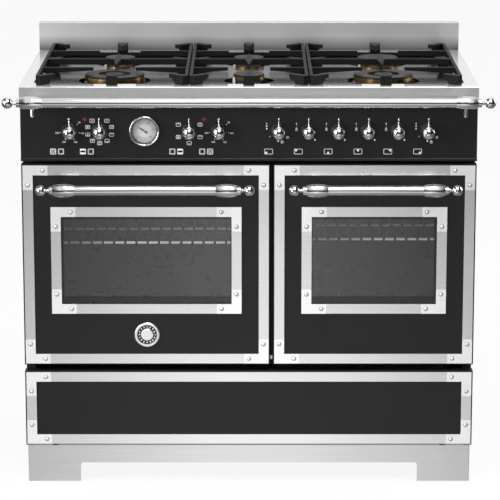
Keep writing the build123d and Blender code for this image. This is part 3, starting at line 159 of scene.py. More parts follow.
def join_pieces(pieces: list[Piece], name: str) -> Piece:
    """Join pieces into one object.

    Args:
        pieces: The objects to join.
        name: The joined object's name.

    Returns:
        The joined object.
    """
    joined = pieces[0]
    pick(joined)
    for piece in pieces:
        piece.select_set(True)
    if len(pieces) > 1:
        bpy.ops.object.join()
    joined.name = name
    joined.data.name = name
    return joined


def joint_place(frame: Frame, name: str) -> Vector:
    """Find a joint's place in the row frame by its name."""
    return Vector(next(joint["pos_m"] for joint in frame["joints"] if joint["name"] == name))


def around(place: Vector, radius: float, clockwise: float) -> Pair:
    """Point along X and Z on an upright circle, by its angle clockwise from the top."""
    return place.x + radius * math.sin(clockwise), place.z + radius * math.cos(clockwise)


def attach(piece: Piece, body: str, material: Material) -> Piece:
    """Give a new piece its material and body.

    Args:
        piece: The new object.
        body: The body that carries it.
        material: Its finish.

    Returns:
        The same object.
    """
    piece.data.materials.clear()
    piece.data.materials.append(material)
    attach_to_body(piece, body)
    LOG.info("made %s on %s", piece.name, body)
    return piece


# Shader graphs


class Graph:
    """The shader nodes of one material, or of the world."""

    def __init__(self, owner: Material | bpy.types.World, output: str = "ShaderNodeOutputMaterial",
                 place: str = "Object") -> None:
        """Start an empty node tree with its output.

        Args:
            owner: The material or world.
            output: The output node's type name.
            place: The texture coordinates that patterns follow.
        """
        owner.use_nodes = True
        self.owner = owner
        self.tree = owner.node_tree
        self.tree.nodes.clear()
        self.output = self.tree.nodes.new(output)
        self.place = self.tree.nodes.new("ShaderNodeTexCoord").outputs[place]

    def add(self, kind: str, **settings: object) -> bpy.types.ShaderNode:
        """Add a node.

        Args:
            kind: The node's type name.
            settings: Properties of the node itself.

        Returns:
            The new node.
        """
        node = self.tree.nodes.new(kind)
        for name, value in settings.items():
            setattr(node, name, value)
        return node

    def link(self, source: Socket, target: Socket) -> None:
        """Connect two sockets."""
        self.tree.links.new(source, target)

    def stretched(self, scale: Triple, shift: Triple = (0.0, 0.0, 0.0)) -> Socket:
        """Coordinates scaled by axis, then shifted.

        Args:
            scale: Factor for each axis.
            shift: What is added after scaling.

        Returns:
            The vector socket.
        """
        mapping = self.add("ShaderNodeMapping")
        mapping.inputs["Scale"].default_value = scale
        mapping.inputs["Location"].default_value = shift
        self.link(self.place, mapping.inputs["Vector"])
        return mapping.outputs["Vector"]

    def nearness(self, centre: Triple, radii: Triple) -> Socket:
        """Value that is 1 at a centre and falls evenly to 0 at an ellipsoid's surface.

        Args:
            centre: The ellipsoid's centre.
            radii: Its half axes.

        Returns:
            The value's socket.
        """
        scale = tuple(1.0 / radius for radius in radii)
        shift = tuple(-place / radius for place, radius in zip(centre, radii))
        ball = self.add("ShaderNodeTexGradient", gradient_type="SPHERICAL")
        self.link(self.stretched(scale, shift), ball.inputs["Vector"])
        return ball.outputs["Fac"]

    def combine(self, operation: str, *values: Socket) -> Socket:
        """Combine values one after another.

        Args:
            operation: Blender's name of the math operation.
            values: The values, at least one.

        Returns:
            The result's socket.
        """
        result = values[0]
        for value in values[1:]:
            node = self.add("ShaderNodeMath", operation=operation)
            self.link(result, node.inputs[0])
            self.link(value, node.inputs[1])
            result = node.outputs[0]
        return result

    def peak(self, *values: Socket) -> Socket:
        """The largest of several values."""
        return self.combine("MAXIMUM", *values)

    def blend(self, share: Socket, first: Socket, second: float) -> Socket:
        """Go from a value to a number by a share.

        Args:
            share: 0 for the value, 1 for the number.
            first: The value.
            second: The number.

        Returns:
            The result's socket.
        """
        node = self.add("ShaderNodeMix", data_type="FLOAT")
        numbers = [socket for socket in node.inputs if socket.type == "VALUE"]
        factor, start, end = numbers[0], numbers[-2], numbers[-1]
        self.link(share, factor)
        self.link(first, start)
        end.default_value = second
        return next(socket for socket in node.outputs if socket.type == "VALUE")

    def noise(self, scale: Triple, detail: float = 3.0, share: float = 0.5) -> Socket:
        """Noise on stretched object coordinates.

        Args:
            scale: Cells per metre along each axis.
            detail: Octaves.
            share: Strength of the finer octaves.

        Returns:
            The noise value's socket.
        """
        texture = self.add("ShaderNodeTexNoise")
        texture.inputs["Scale"].default_value = 1.0
        texture.inputs["Detail"].default_value = detail
        texture.inputs["Roughness"].default_value = share
        self.link(self.stretched(scale), texture.inputs["Vector"])
        return texture.outputs["Fac"]

    def span(self, value: Socket, low: float, high: float, at_low: float = 0.0,
             at_high: float = 1.0) -> Socket:
        """Map a value's range to another range, clamped.

        Args:
            value: The socket to read.
            low: Start of the range read.
            high: End of the range read.
            at_low: Result at the start.
            at_high: Result at the end.

        Returns:
            The result's socket.
        """
        node = self.add("ShaderNodeMapRange")
        for name, number in (("From Min", low), ("From Max", high), ("To Min", at_low), ("To Max", at_high)):
            node.inputs[name].default_value = number
        self.link(value, node.inputs["Value"])
        return node.outputs["Result"]

    def varied(self, noise: Socket, middle: float, share: float) -> Socket:
        """Number that follows a noise, up to a share below and above its middle."""
        return self.span(noise, *NOISE_RANGE, middle * (1.0 - share), middle * (1.0 + share))

    def colours(self, value: Socket, *stops: tuple[float, Triple]) -> Socket:
        """Colour ramp on a value.

        Args:
            value: The socket to read, from 0 to 1.
            stops: Pairs of position and colour.

        Returns:
            The colour socket.
        """
        ramp = self.add("ShaderNodeValToRGB")
        elements = ramp.color_ramp.elements
        while len(elements) < len(stops):
            elements.new(0.5)
        for element, (position, colour) in zip(elements, stops):
            element.position = position
            element.color = (*colour, 1.0)
        self.link(value, ramp.inputs["Fac"])
        return ramp.outputs["Color"]

    def shades(self, noise: Socket, colour: Triple, darkest: float, lightest: float) -> Socket:
        """Colour that follows a noise from a darkest to a lightest share of itself."""
        ends = (tuple(part * share for part in colour) for share in (darkest, lightest))
        return self.colours(noise, *zip(NOISE_RANGE, ends))

    def mix_colours(self, share: Socket, first: Socket, second: Socket) -> Socket:
        """Mix two colours by a share.

        Args:
            share: 0 for the first colour, 1 for the second.
            first: The first colour.
            second: The second colour.

        Returns:
            The mixed colour's socket.
        """
        node = self.add("ShaderNodeMix", data_type="RGBA")
        self.link(share, node.inputs["Factor"])
        colour_inputs = [socket for socket in node.inputs if socket.type == "RGBA"]
        self.link(first, colour_inputs[0])
        self.link(second, colour_inputs[1])
        return next(socket for socket in node.outputs if socket.type == "RGBA")

    def bump(self, height: Socket, strength: float, distance: float) -> Socket:
        """Surface relief from a height.

        Args:
            height: The height's socket.
            strength: How much of it shows.
            distance: Height in metres at a value of 1.

        Returns:
            The normal's socket.
        """
        node = self.add("ShaderNodeBump")
        node.inputs["Strength"].default_value = strength
        node.inputs["Distance"].default_value = distance
        self.link(height, node.inputs["Height"])
        return node.outputs["Normal"]

    def axis(self, name: str) -> Socket:
        """One object coordinate.

        Args:
            name: The axis's name.

        Returns:
            The coordinate's socket.
        """
        split = self.add("ShaderNodeSeparateXYZ")
        self.link(self.place, split.inputs["Vector"])
        return split.outputs[name]

    def surface(self, linked: dict[str, Socket], plain: dict[str, object]) -> bpy.types.ShaderNode:
        """Principled surface on the material's output.

        Args:
            linked: Sockets that follow a pattern.
            plain: Values that are the same all over.

        Returns:
            The shader node.
        """
        shader = self.add("ShaderNodeBsdfPrincipled")
        for name, value in plain.items():
            shader.inputs[name].default_value = value
        for name, source in linked.items():
            self.link(source, shader.inputs[name])
        self.link(shader.outputs["BSDF"], self.output.inputs["Surface"])
        return shader

    def show_mixed(self, share: Socket, first: bpy.types.ShaderNode, second: bpy.types.ShaderNode) -> None:
        """Show two shaders mixed on the output.

        Args:
            share: 0 for the first shader, 1 for the second.
            first: The first shader.
            second: The second shader.
        """
        mix = self.add("ShaderNodeMixShader")
        self.link(share, mix.inputs["Fac"])
        self.link(first.outputs[0], mix.inputs[1])
        self.link(second.outputs[0], mix.inputs[2])
        self.link(mix.outputs["Shader"], self.output.inputs["Surface"])


def grey(tone: float) -> Triple:
    """Neutral colour of one tone, or one number for all three axes."""
    return tone, tone, tone


# Finishes


@dataclass(frozen=True)
class Finish:
    """One material. Each kind of finish lays out its own nodes."""

    name: str

    def make(self) -> Material:
        """Build the material.

        Returns:
            The new material.
        """
        graph = Graph(bpy.data.materials.new(self.name))
        self.lay_out(graph)
        return graph.owner

    def lay_out(self, graph: Graph) -> None:
        """Add the finish's nodes."""
        raise NotImplementedError


@dataclass(frozen=True)
class Zone:
    """Stretch of steel beyond a plane: another finish on trims, painted shade on the hob and upstand."""

    axis: str
    start: float
    end: float
    tone: float
    roughness: float
    metal: float = 1.0


@dataclass(frozen=True)
class BrushedSteel(Finish):
    """Stainless sheet brushed along X, with other finishes and painted shade in its zones."""

    tone: float
    roughness: float
    metal: float = 1.0
    zones: tuple[Zone, ...] = ()
    streak_scale: Triple = (4.0, 450.0, 450.0)
    streak_share: float = 0.6
    streak_range: Pair = (0.25, 0.75)
    streak_shares: Pair = (0.95, 1.03)
    cloud_count: float = 5.0
    rough_share: float = 0.05
    relief: float = 0.005 * MM
    relief_share: float = 0.2

    def lay_out(self, graph: Graph) -> None:
        """Add the finish's nodes.

        Args:
            graph: The material's nodes.
        """
        streaks = graph.noise(self.streak_scale, FEW_OCTAVES, self.streak_share)
        colour = self._brushed(graph, streaks, self.tone)
        clouds = graph.noise(grey(self.cloud_count), FEW_OCTAVES)
        rough = graph.varied(clouds, self.roughness, self.rough_share)
        linked = {"Normal": graph.bump(streaks, self.relief_share, self.relief)}
        plain = {} if self.zones else {"Metallic": self.metal}
        for count, zone in enumerate(self.zones):
            inside = graph.span(graph.axis(zone.axis), zone.start, zone.end)
            colour = graph.mix_colours(inside, colour, self._brushed(graph, streaks, zone.tone))
            rough = graph.blend(inside, rough, zone.roughness)
            metal = graph.blend(inside, linked["Metallic"], zone.metal) if count else graph.span(
                inside, 0.0, 1.0, self.metal, zone.metal)
            linked["Metallic"] = metal
        graph.surface(linked | {"Base Color": colour, "Roughness": rough}, plain)

    def _brushed(self, graph: Graph, streaks: Socket, tone: float) -> Socket:
        """Colour of steel of one tone with its brushing."""
        tones = (grey(min(tone * share, 1.0)) for share in self.streak_shares)
        return graph.colours(streaks, *zip(self.streak_range, tones))


@dataclass(frozen=True)
class SatinEnamel(Finish):
    """Satin stove enamel with a faint orange-peel relief."""

    tone: float
    roughness: float
    specular: float
    tone_shares: Pair = (0.9, 1.1)
    rough_share: float = 0.07
    haze_count: float = 6.0
    peel_count: float = 420.0
    relief: float = 0.03 * MM
    relief_share: float = 0.12

    def lay_out(self, graph: Graph) -> None:
        """Add the finish's nodes.

        Args:
            graph: The material's nodes.
        """
        haze = graph.noise(grey(self.haze_count))
        peel = graph.noise(grey(self.peel_count), FEW_OCTAVES)
        graph.surface({"Base Color": graph.shades(haze, grey(self.tone), *self.tone_shares),
                       "Roughness": graph.varied(haze, self.roughness, self.rough_share),
                       "Normal": graph.bump(peel, self.relief_share, self.relief)},
                      {"Specular IOR Level": self.specular})


@dataclass(frozen=True)
class Chrome(Finish):
    """Bright chrome plate, black behind a plane where one is given: the knobs' own skirt, painted shade on
    handle posts.
    """

    tone: float = 0.86
    roughness: float = 0.045
    skirt_and_shade_front: float | None = None
    tone_shares: Pair = (0.97, 1.0)
    rough_share: float = 0.3
    skirt_and_shade_tone: float = 0.012
    skirt_and_shade_shares: Pair = (0.9, 1.1)
    skirt_and_shade_roughness: float = 0.35
    skirt_and_shade_edge: float = 0.1 * MM
    polish_count: float = 35.0

    def lay_out(self, graph: Graph) -> None:
        """Add the finish's nodes.

        Args:
            graph: The material's nodes.
        """
        polish = graph.noise(grey(self.polish_count))
        colour = graph.shades(polish, grey(self.tone), *self.tone_shares)
        rough = graph.varied(polish, self.roughness, self.rough_share)
        if self.skirt_and_shade_front is None:
            graph.surface({"Base Color": colour, "Roughness": rough}, {"Metallic": 1.0})
            return
        # Black behind the plane: the knobs' own black skirt, and on the door handles painted shade over the
        # posts.
        on_skirt_and_shade = graph.span(graph.axis("Y"), self.skirt_and_shade_front - self.skirt_and_shade_edge,
                              self.skirt_and_shade_front + self.skirt_and_shade_edge)
        black = graph.shades(polish, grey(self.skirt_and_shade_tone), *self.skirt_and_shade_shares)
        dull = graph.span(on_skirt_and_shade, 0.0, 1.0, 0.0, self.skirt_and_shade_roughness)
        graph.surface({"Base Color": graph.mix_colours(on_skirt_and_shade, colour, black),
                       "Metallic": graph.span(on_skirt_and_shade, 0.0, 1.0, 1.0, 0.0),
                       "Roughness": graph.peak(rough, dull)}, {})


@dataclass(frozen=True)
class CastIron(Finish):
    """Matte enamelled cast iron with a sandy skin, its top painted paler as light falling from above."""

    tone: float
    top_light_tone: float
    roughness: float
    top_light_from: float
    top_light_to: float
    specular: float = 0.12
    tone_shares: Pair = (0.8, 1.2)
    top_light_shares: Pair = (0.8, 1.15)
    rough_share: float = 0.1
    patch_count: float = 28.0
    sand_count: float = 900.0
    sand_share: float = 0.6
    relief: float = 0.18 * MM
    relief_share: float = 0.3

    def lay_out(self, graph: Graph) -> None:
        """Add the finish's nodes.

        Args:
            graph: The material's nodes.
        """
        sand = graph.noise(grey(self.sand_count), share=self.sand_share)
        patches = graph.noise(grey(self.patch_count))
        skin = graph.shades(sand, grey(self.tone), *self.tone_shares)
        top_light = graph.shades(patches, grey(self.top_light_tone), *self.top_light_shares)
        # Painted light: the top millimetre gets a paler tone, standing in for light falling on the tops from
        # above.
        on_top = graph.span(graph.axis("Z"), self.top_light_from, self.top_light_to)
        graph.surface({"Base Color": graph.mix_colours(on_top, skin, top_light),
                       "Roughness": graph.varied(patches, self.roughness, self.rough_share),
                       "Normal": graph.bump(sand, self.relief_share, self.relief)},
                      {"Specular IOR Level": self.specular})


@dataclass(frozen=True)
class CookedMetal(Finish):
    """Bare or heat-coloured metal: two tones in soft patches over a fine grain."""

    first: Triple
    second: Triple
    roughness: float
    rough_share: float = 0.15
    patch_count: float = 40.0
    patch_range: Pair = (0.35, 0.68)
    grain_count: float = 600.0
    relief: float = 0.05 * MM
    relief_share: float = 0.2

    def lay_out(self, graph: Graph) -> None:
        """Add the finish's nodes.

        Args:
            graph: The material's nodes.
        """
        patches = graph.noise(grey(self.patch_count))
        grain = graph.noise(grey(self.grain_count), FEW_OCTAVES)
        colour = graph.colours(patches, *zip(self.patch_range, (self.first, self.second)))
        graph.surface({"Base Color": colour,
                       "Roughness": graph.varied(patches, self.roughness, self.rough_share),
                       "Normal": graph.bump(grain, self.relief_share, self.relief)}, {"Metallic": 1.0})


@dataclass(frozen=True)
class SpangledSteel(Finish):
    """Galvanised sheet with its crystal spangle."""

    tone: float
    roughness: float
    spangle_count: float = 90.0
    tone_shares: Pair = (0.85, 1.12)
    rough_shares: Pair = (0.85, 1.15)

    def lay_out(self, graph: Graph) -> None:
        """Add the finish's nodes.

        Args:
            graph: The material's nodes.
        """
        cells = graph.add("ShaderNodeTexVoronoi")
        cells.inputs["Scale"].default_value = self.spangle_count
        graph.link(graph.place, cells.inputs["Vector"])
        split = graph.add("ShaderNodeSeparateColor")
        graph.link(cells.outputs["Color"], split.inputs["Color"])
        crystal = split.outputs["Red"]
        tones = (grey(self.tone * share) for share in self.tone_shares)
        rough = graph.span(crystal, 0.0, 1.0, *(self.roughness * share for share in self.rough_shares))
        colour = graph.colours(crystal, *zip((0.0, 1.0), tones))
        graph.surface({"Base Color": colour, "Roughness": rough}, {"Metallic": 1.0})


@dataclass(frozen=True)
class SpeckledEnamel(Finish):
    """Dark vitreous oven enamel with pale speckles."""

    tone: Triple
    speck: Triple
    roughness: float
    specular: float = 0.5
    rough_share: float = 0.15
    speck_count: float = 260.0
    speck_share: float = 0.7
    speck_range: Pair = (0.62, 0.72)
    wave_count: float = 30.0
    relief: float = 0.2 * MM
    relief_share: float = 0.03

    def lay_out(self, graph: Graph) -> None:
        """Add the finish's nodes.

        Args:
            graph: The material's nodes.
        """
        specks = graph.noise(grey(self.speck_count), FEW_OCTAVES, self.speck_share)
        waves = graph.noise(grey(self.wave_count), FEW_OCTAVES)
        colour = graph.colours(specks, *zip(self.speck_range, (self.tone, self.speck)))
        graph.surface({"Base Color": colour,
                       "Roughness": graph.varied(waves, self.roughness, self.rough_share),
                       "Normal": graph.bump(waves, self.relief_share, self.relief)},
                      {"Specular IOR Level": self.specular})


@dataclass(frozen=True)
class SmokedGlass(Finish):
    """Clear or smoked pane that lets lamp light through."""

    tint: Triple
    roughness: float = 0.01
    ior: float = 1.5

    def lay_out(self, graph: Graph) -> None:
        """Add the finish's nodes.

        Args:
            graph: The material's nodes.
        """
        shader = graph.surface({}, {"Base Color": (*self.tint, 1.0), "Roughness": self.roughness,
                                    "IOR": self.ior, "Transmission Weight": 1.0})
        clear = graph.add("ShaderNodeBsdfTransparent")
        clear.inputs["Color"].default_value = (*self.tint, 1.0)
        rays = graph.add("ShaderNodeLightPath")
        graph.show_mixed(rays.outputs["Is Shadow Ray"], shader, clear)


@dataclass(frozen=True)
class Coating(Finish):
    """Paint, plastic, ceramic or ink with a slight mottle."""

    colour: Triple
    roughness: float
    specular: float = 0.5
    tone_shares: Pair = (0.9, 1.0)
    rough_share: float = 0.08
    mottle_count: float = 300.0
    relief: float = 0.02 * MM
    relief_share: float = 0.15

    def lay_out(self, graph: Graph) -> None:
        """Add the finish's nodes.

        Args:
            graph: The material's nodes.
        """
        mottle = graph.noise(grey(self.mottle_count))
        graph.surface({"Base Color": graph.shades(mottle, self.colour, *self.tone_shares),
                       "Roughness": graph.varied(mottle, self.roughness, self.rough_share),
                       "Normal": graph.bump(mottle, self.relief_share, self.relief)},
                      {"Specular IOR Level": self.specular})


@dataclass(frozen=True)
class RopeWeave(Finish):
    """Woven glass-fibre rope."""

    dark: Triple
    light: Triple
    roughness: float = 0.9
    strand: float = 2.2 * MM
    strand_share: float = 0.3
    strand_range: Pair = (0.2, 0.8)
    twist: float = 1.5
    relief: float = 0.5 * MM
    relief_share: float = 0.6

    def lay_out(self, graph: Graph) -> None:
        """Add the finish's nodes.

        Args:
            graph: The material's nodes.
        """
        weave = graph.add("ShaderNodeTexWave", bands_direction="DIAGONAL")
        weave.inputs["Scale"].default_value = self.strand_share / self.strand
        weave.inputs["Distortion"].default_value = self.twist
        graph.link(graph.place, weave.inputs["Vector"])
        strands = weave.outputs["Fac"]
        colour = graph.colours(strands, *zip(self.strand_range, (self.dark, self.light)))
        graph.surface({"Base Color": colour,
                       "Normal": graph.bump(strands, self.relief_share, self.relief)},
                      {"Roughness": self.roughness})


@dataclass(frozen=True)
class ShelfWire(Finish):
    """Chromed shelf rods, with near-black bands painted where the thin wires cross them: painted shade."""

    between: float
    firsts: Pair
    pitch: float
    tone: float = 0.96
    tone_shares: Pair = (0.97, 1.0)
    cross_wire_shade_tone: float = 0.012
    cross_wire_shade_shares: Pair = (0.8, 1.0)
    roughness: float = 0.4
    rough_share: float = 0.3
    metal: float = 0.35
    cross_wire_shade_half: float = 2.5 * MM
    cross_wire_shade_fade: float = 0.3 * MM
    polish_count: float = 35.0

    def lay_out(self, graph: Graph) -> None:
        """Add the finish's nodes.

        Args:
            graph: The material's nodes.
        """
        polish = graph.noise(grey(self.polish_count))
        across = graph.axis("X")
        first = graph.span(across, self.between, self.between + self.cross_wire_shade_fade, *self.firsts)
        fold = graph.add("ShaderNodeMath", operation="PINGPONG")
        fold.inputs[1].default_value = self.pitch / 2
        graph.link(graph.combine("SUBTRACT", across, first), fold.inputs[0])
        # Painted shade: the rods go near black in a band at each thin wire, standing in for the wires' shade
        # and dark reflection.
        weld = graph.span(fold.outputs[0], self.cross_wire_shade_half, self.cross_wire_shade_half + self.cross_wire_shade_fade, 1.0, 0.0)
        bright = graph.shades(polish, grey(self.tone), *self.tone_shares)
        cross_wire_shade_colour = graph.shades(polish, grey(self.cross_wire_shade_tone), *self.cross_wire_shade_shares)
        graph.surface({"Base Color": graph.mix_colours(weld, bright, cross_wire_shade_colour),
                       "Roughness": graph.varied(polish, self.roughness, self.rough_share)},
                      {"Metallic": self.metal})


@dataclass(frozen=True)
class LampLens(Finish):
    """Small coloured lens under a clear coat, deeper in places."""

    colour: Triple
    tone_shares: Pair = (0.6, 1.0)
    roughness: float = 0.12
    coat: float = 0.5
    coat_roughness: float = 0.05
    depth_count: float = 500.0

    def lay_out(self, graph: Graph) -> None:
        """Add the finish's nodes.

        Args:
            graph: The material's nodes.
        """
        depth = graph.noise(grey(self.depth_count), FEW_OCTAVES)
        graph.surface({"Base Color": graph.shades(depth, self.colour, *self.tone_shares)},
                      {"Roughness": self.roughness, "Coat Weight": self.coat,
                       "Coat Roughness": self.coat_roughness})


@dataclass(frozen=True)
class DialSilver(Finish):
    """Silvered dial: shaded under its bezel, with a grey scale ring round a pale middle."""

    centre: Triple
    radius: float
    # The first two stops, at the dial's rim, are painted shade under the bezel.
    rings: tuple[Pair, ...] = ((0.0, 0.05), (0.07, 0.07), (0.11, 0.46), (0.4, 0.6), (0.45, 0.78),
                               (1.0, 0.94))
    rough_range: Pair = (0.3, 0.4)
    metal: float = 0.6
    grain_count: float = 900.0

    def lay_out(self, graph: Graph) -> None:
        """Add the finish's nodes.

        Args:
            graph: The material's nodes.
        """
        inward = graph.nearness(self.centre, grey(self.radius))
        rings = graph.colours(inward, *((place, grey(tone)) for place, tone in self.rings))
        grain = graph.noise(grey(self.grain_count), FEW_OCTAVES)
        rough = graph.span(grain, *NOISE_RANGE, *self.rough_range)
        graph.surface({"Base Color": rings, "Roughness": rough}, {"Metallic": self.metal})


# Printed marks


class Stencil:
    """Flat shapes on one upright face, joined into one printed piece."""

    CORNER_STEPS = 3
    DISC_STEPS = 32
    RING_STEPS = 64
    FLAME_STEPS = 16
    FLAME_SHARE = 0.42

    def __init__(self, face: float, ink: float) -> None:
        """Start with no shapes.

        Args:
            face: The printed face's place along Y.
            ink: Thickness of the print.
        """
        self.face = face
        self.ink = ink
        self.shapes: list[Piece] = []

    def _keep(self, u: float, v: float, clockwise: float = 0.0) -> None:
        """Stand the active shape up on the face and keep it.

        Args:
            u: Middle across the face.
            v: Middle up the face.
            clockwise: Turn in radians, seen from the front.
        """
        shape = bpy.context.object
        shape.location = (u, self.face, v)
        shape.rotation_euler = (math.pi / 2, clockwise, 0.0)
        apply_place(shape)
        self.shapes.append(shape)

    def _plane(self, width: float, height: float, corner: float) -> None:
        """Add a rectangle at its size.

        Args:
            width: Size across.
            height: Size up.
            corner: Radius of its corners, or 0 for sharp ones.
        """
        clear_selection()
        bpy.ops.mesh.primitive_plane_add(size=1.0)
        shape = bpy.context.object
        shape.scale = (width, height, 1.0)
        apply_place(shape)
        if corner:
            with edit_mode():
                bpy.ops.mesh.bevel(affect="VERTICES", offset=corner, segments=self.CORNER_STEPS)

    def _circle(self, radius: float, steps: int) -> Piece:
        """Add a filled circle.

        Args:
            radius: The circle's radius.
            steps: Number of its edges.

        Returns:
            The circle.
        """
        clear_selection()
        bpy.ops.mesh.primitive_circle_add(vertices=steps, radius=radius, fill_type="NGON")
        return bpy.context.object

    def _hollow(self, line: float) -> None:
        """Cut the active flat shape down to an outline.

        Args:
            line: Width of the line that stays.
        """
        with edit_mode():
            bpy.ops.mesh.inset(thickness=line)
            bpy.ops.mesh.delete(type="FACE")

    def patch(self, u: float, v: float, width: float, height: float, corner: float = 0.0,
              clockwise: float = 0.0) -> None:
        """Print a filled rectangle round its middle, turned clockwise in radians."""
        self._plane(width, height, corner)
        self._keep(u, v, clockwise)

    def outline(self, u: float, v: float, width: float, height: float, line: float, corner: float) -> None:
        """Print a rectangle's outline.

        Args:
            u: Middle across the face.
            v: Middle up the face.
            width: Size across.
            height: Size up.
            line: Width of the line.
            corner: Radius of its corners.
        """
        self._plane(width, height, corner)
        self._hollow(line)
        self._keep(u, v)

    def disc(self, u: float, v: float, radius: float) -> None:
        """Print a filled disc round its middle."""
        self._circle(radius, self.DISC_STEPS)
        self._keep(u, v)

    def ring(self, u: float, v: float, radius: float, line: float) -> None:
        """Print a ring.

        Args:
            u: Middle across the face.
            v: Middle up the face.
            radius: The ring's outer radius.
            line: Width of the line.
        """
        self._circle(radius, self.RING_STEPS)
        self._hollow(line)
        self._keep(u, v)

    def flame(self, u: float, v: float, height: float) -> None:
        """Print a drop-shaped flame.

        Args:
            u: Middle across the face.
            v: Middle of its round end.
            height: Height from the round end's middle to the tip.
        """
        points = self._circle(self.FLAME_SHARE * height, self.FLAME_STEPS).data.vertices
        top = max(points, key=lambda point: point.co.y)
        for point in points:
            point.select = point.index == top.index
        rise = height - top.co.y
        with edit_mode(Select.POINTS, everything=False):
            bpy.ops.transform.translate(value=(0.0, rise, 0.0))
        self._keep(u, v)

    def figures(self, u: float, v: float, words: str, height: float) -> None:
        """Print plain figures.

        Args:
            u: Middle across the face.
            v: Middle up the face.
            words: The figures.
            height: Size of the type.
        """
        clear_selection()
        bpy.ops.object.text_add()
        text = bpy.context.object.data
        text.body = words
        text.size = height
        text.align_x = "CENTER"
        text.align_y = "CENTER"
        bpy.ops.object.convert(target="MESH")
        self._keep(u, v)

    def finish(self, name: str, body: str, material: Material) -> Piece:
        """Join the shapes, give them the ink's thickness and let them ride on a body.

        Args:
            name: The printed piece's name.
            body: The body that carries it.
            material: The ink.

        Returns:
            The printed piece.
        """
        piece = join_pieces(self.shapes, name)
        use_modifier(piece, "SOLIDIFY", thickness=self.ink, offset=1.0)
        return attach(piece, body, material)


class Heat(Enum):
    """What a selector's sign shows inside its frame: top element, bottom element, fan."""

    TOP = (True, False, False)
    BOTTOM = (False, True, False)
    BOTH = (True, True, False)
    FAN = (False, False, True)
    FAN_TOP = (True, False, True)
    FAN_BOTTOM = (False, True, True)
    FAN_BOTH = (True, True, True)


@dataclass(frozen=True)
class Mark:
    """Small shape beside a gas knob, with its place from the knob's axis."""

    draw: Callable[..., None]
    across: float
    up: float
    sizes: tuple[float, ...]

    def stamp(self, stencil: Stencil, knob: Vector) -> None:
        """Print the shape beside one knob."""
        self.draw(stencil, knob.x + self.across, knob.z + self.up, *self.sizes)


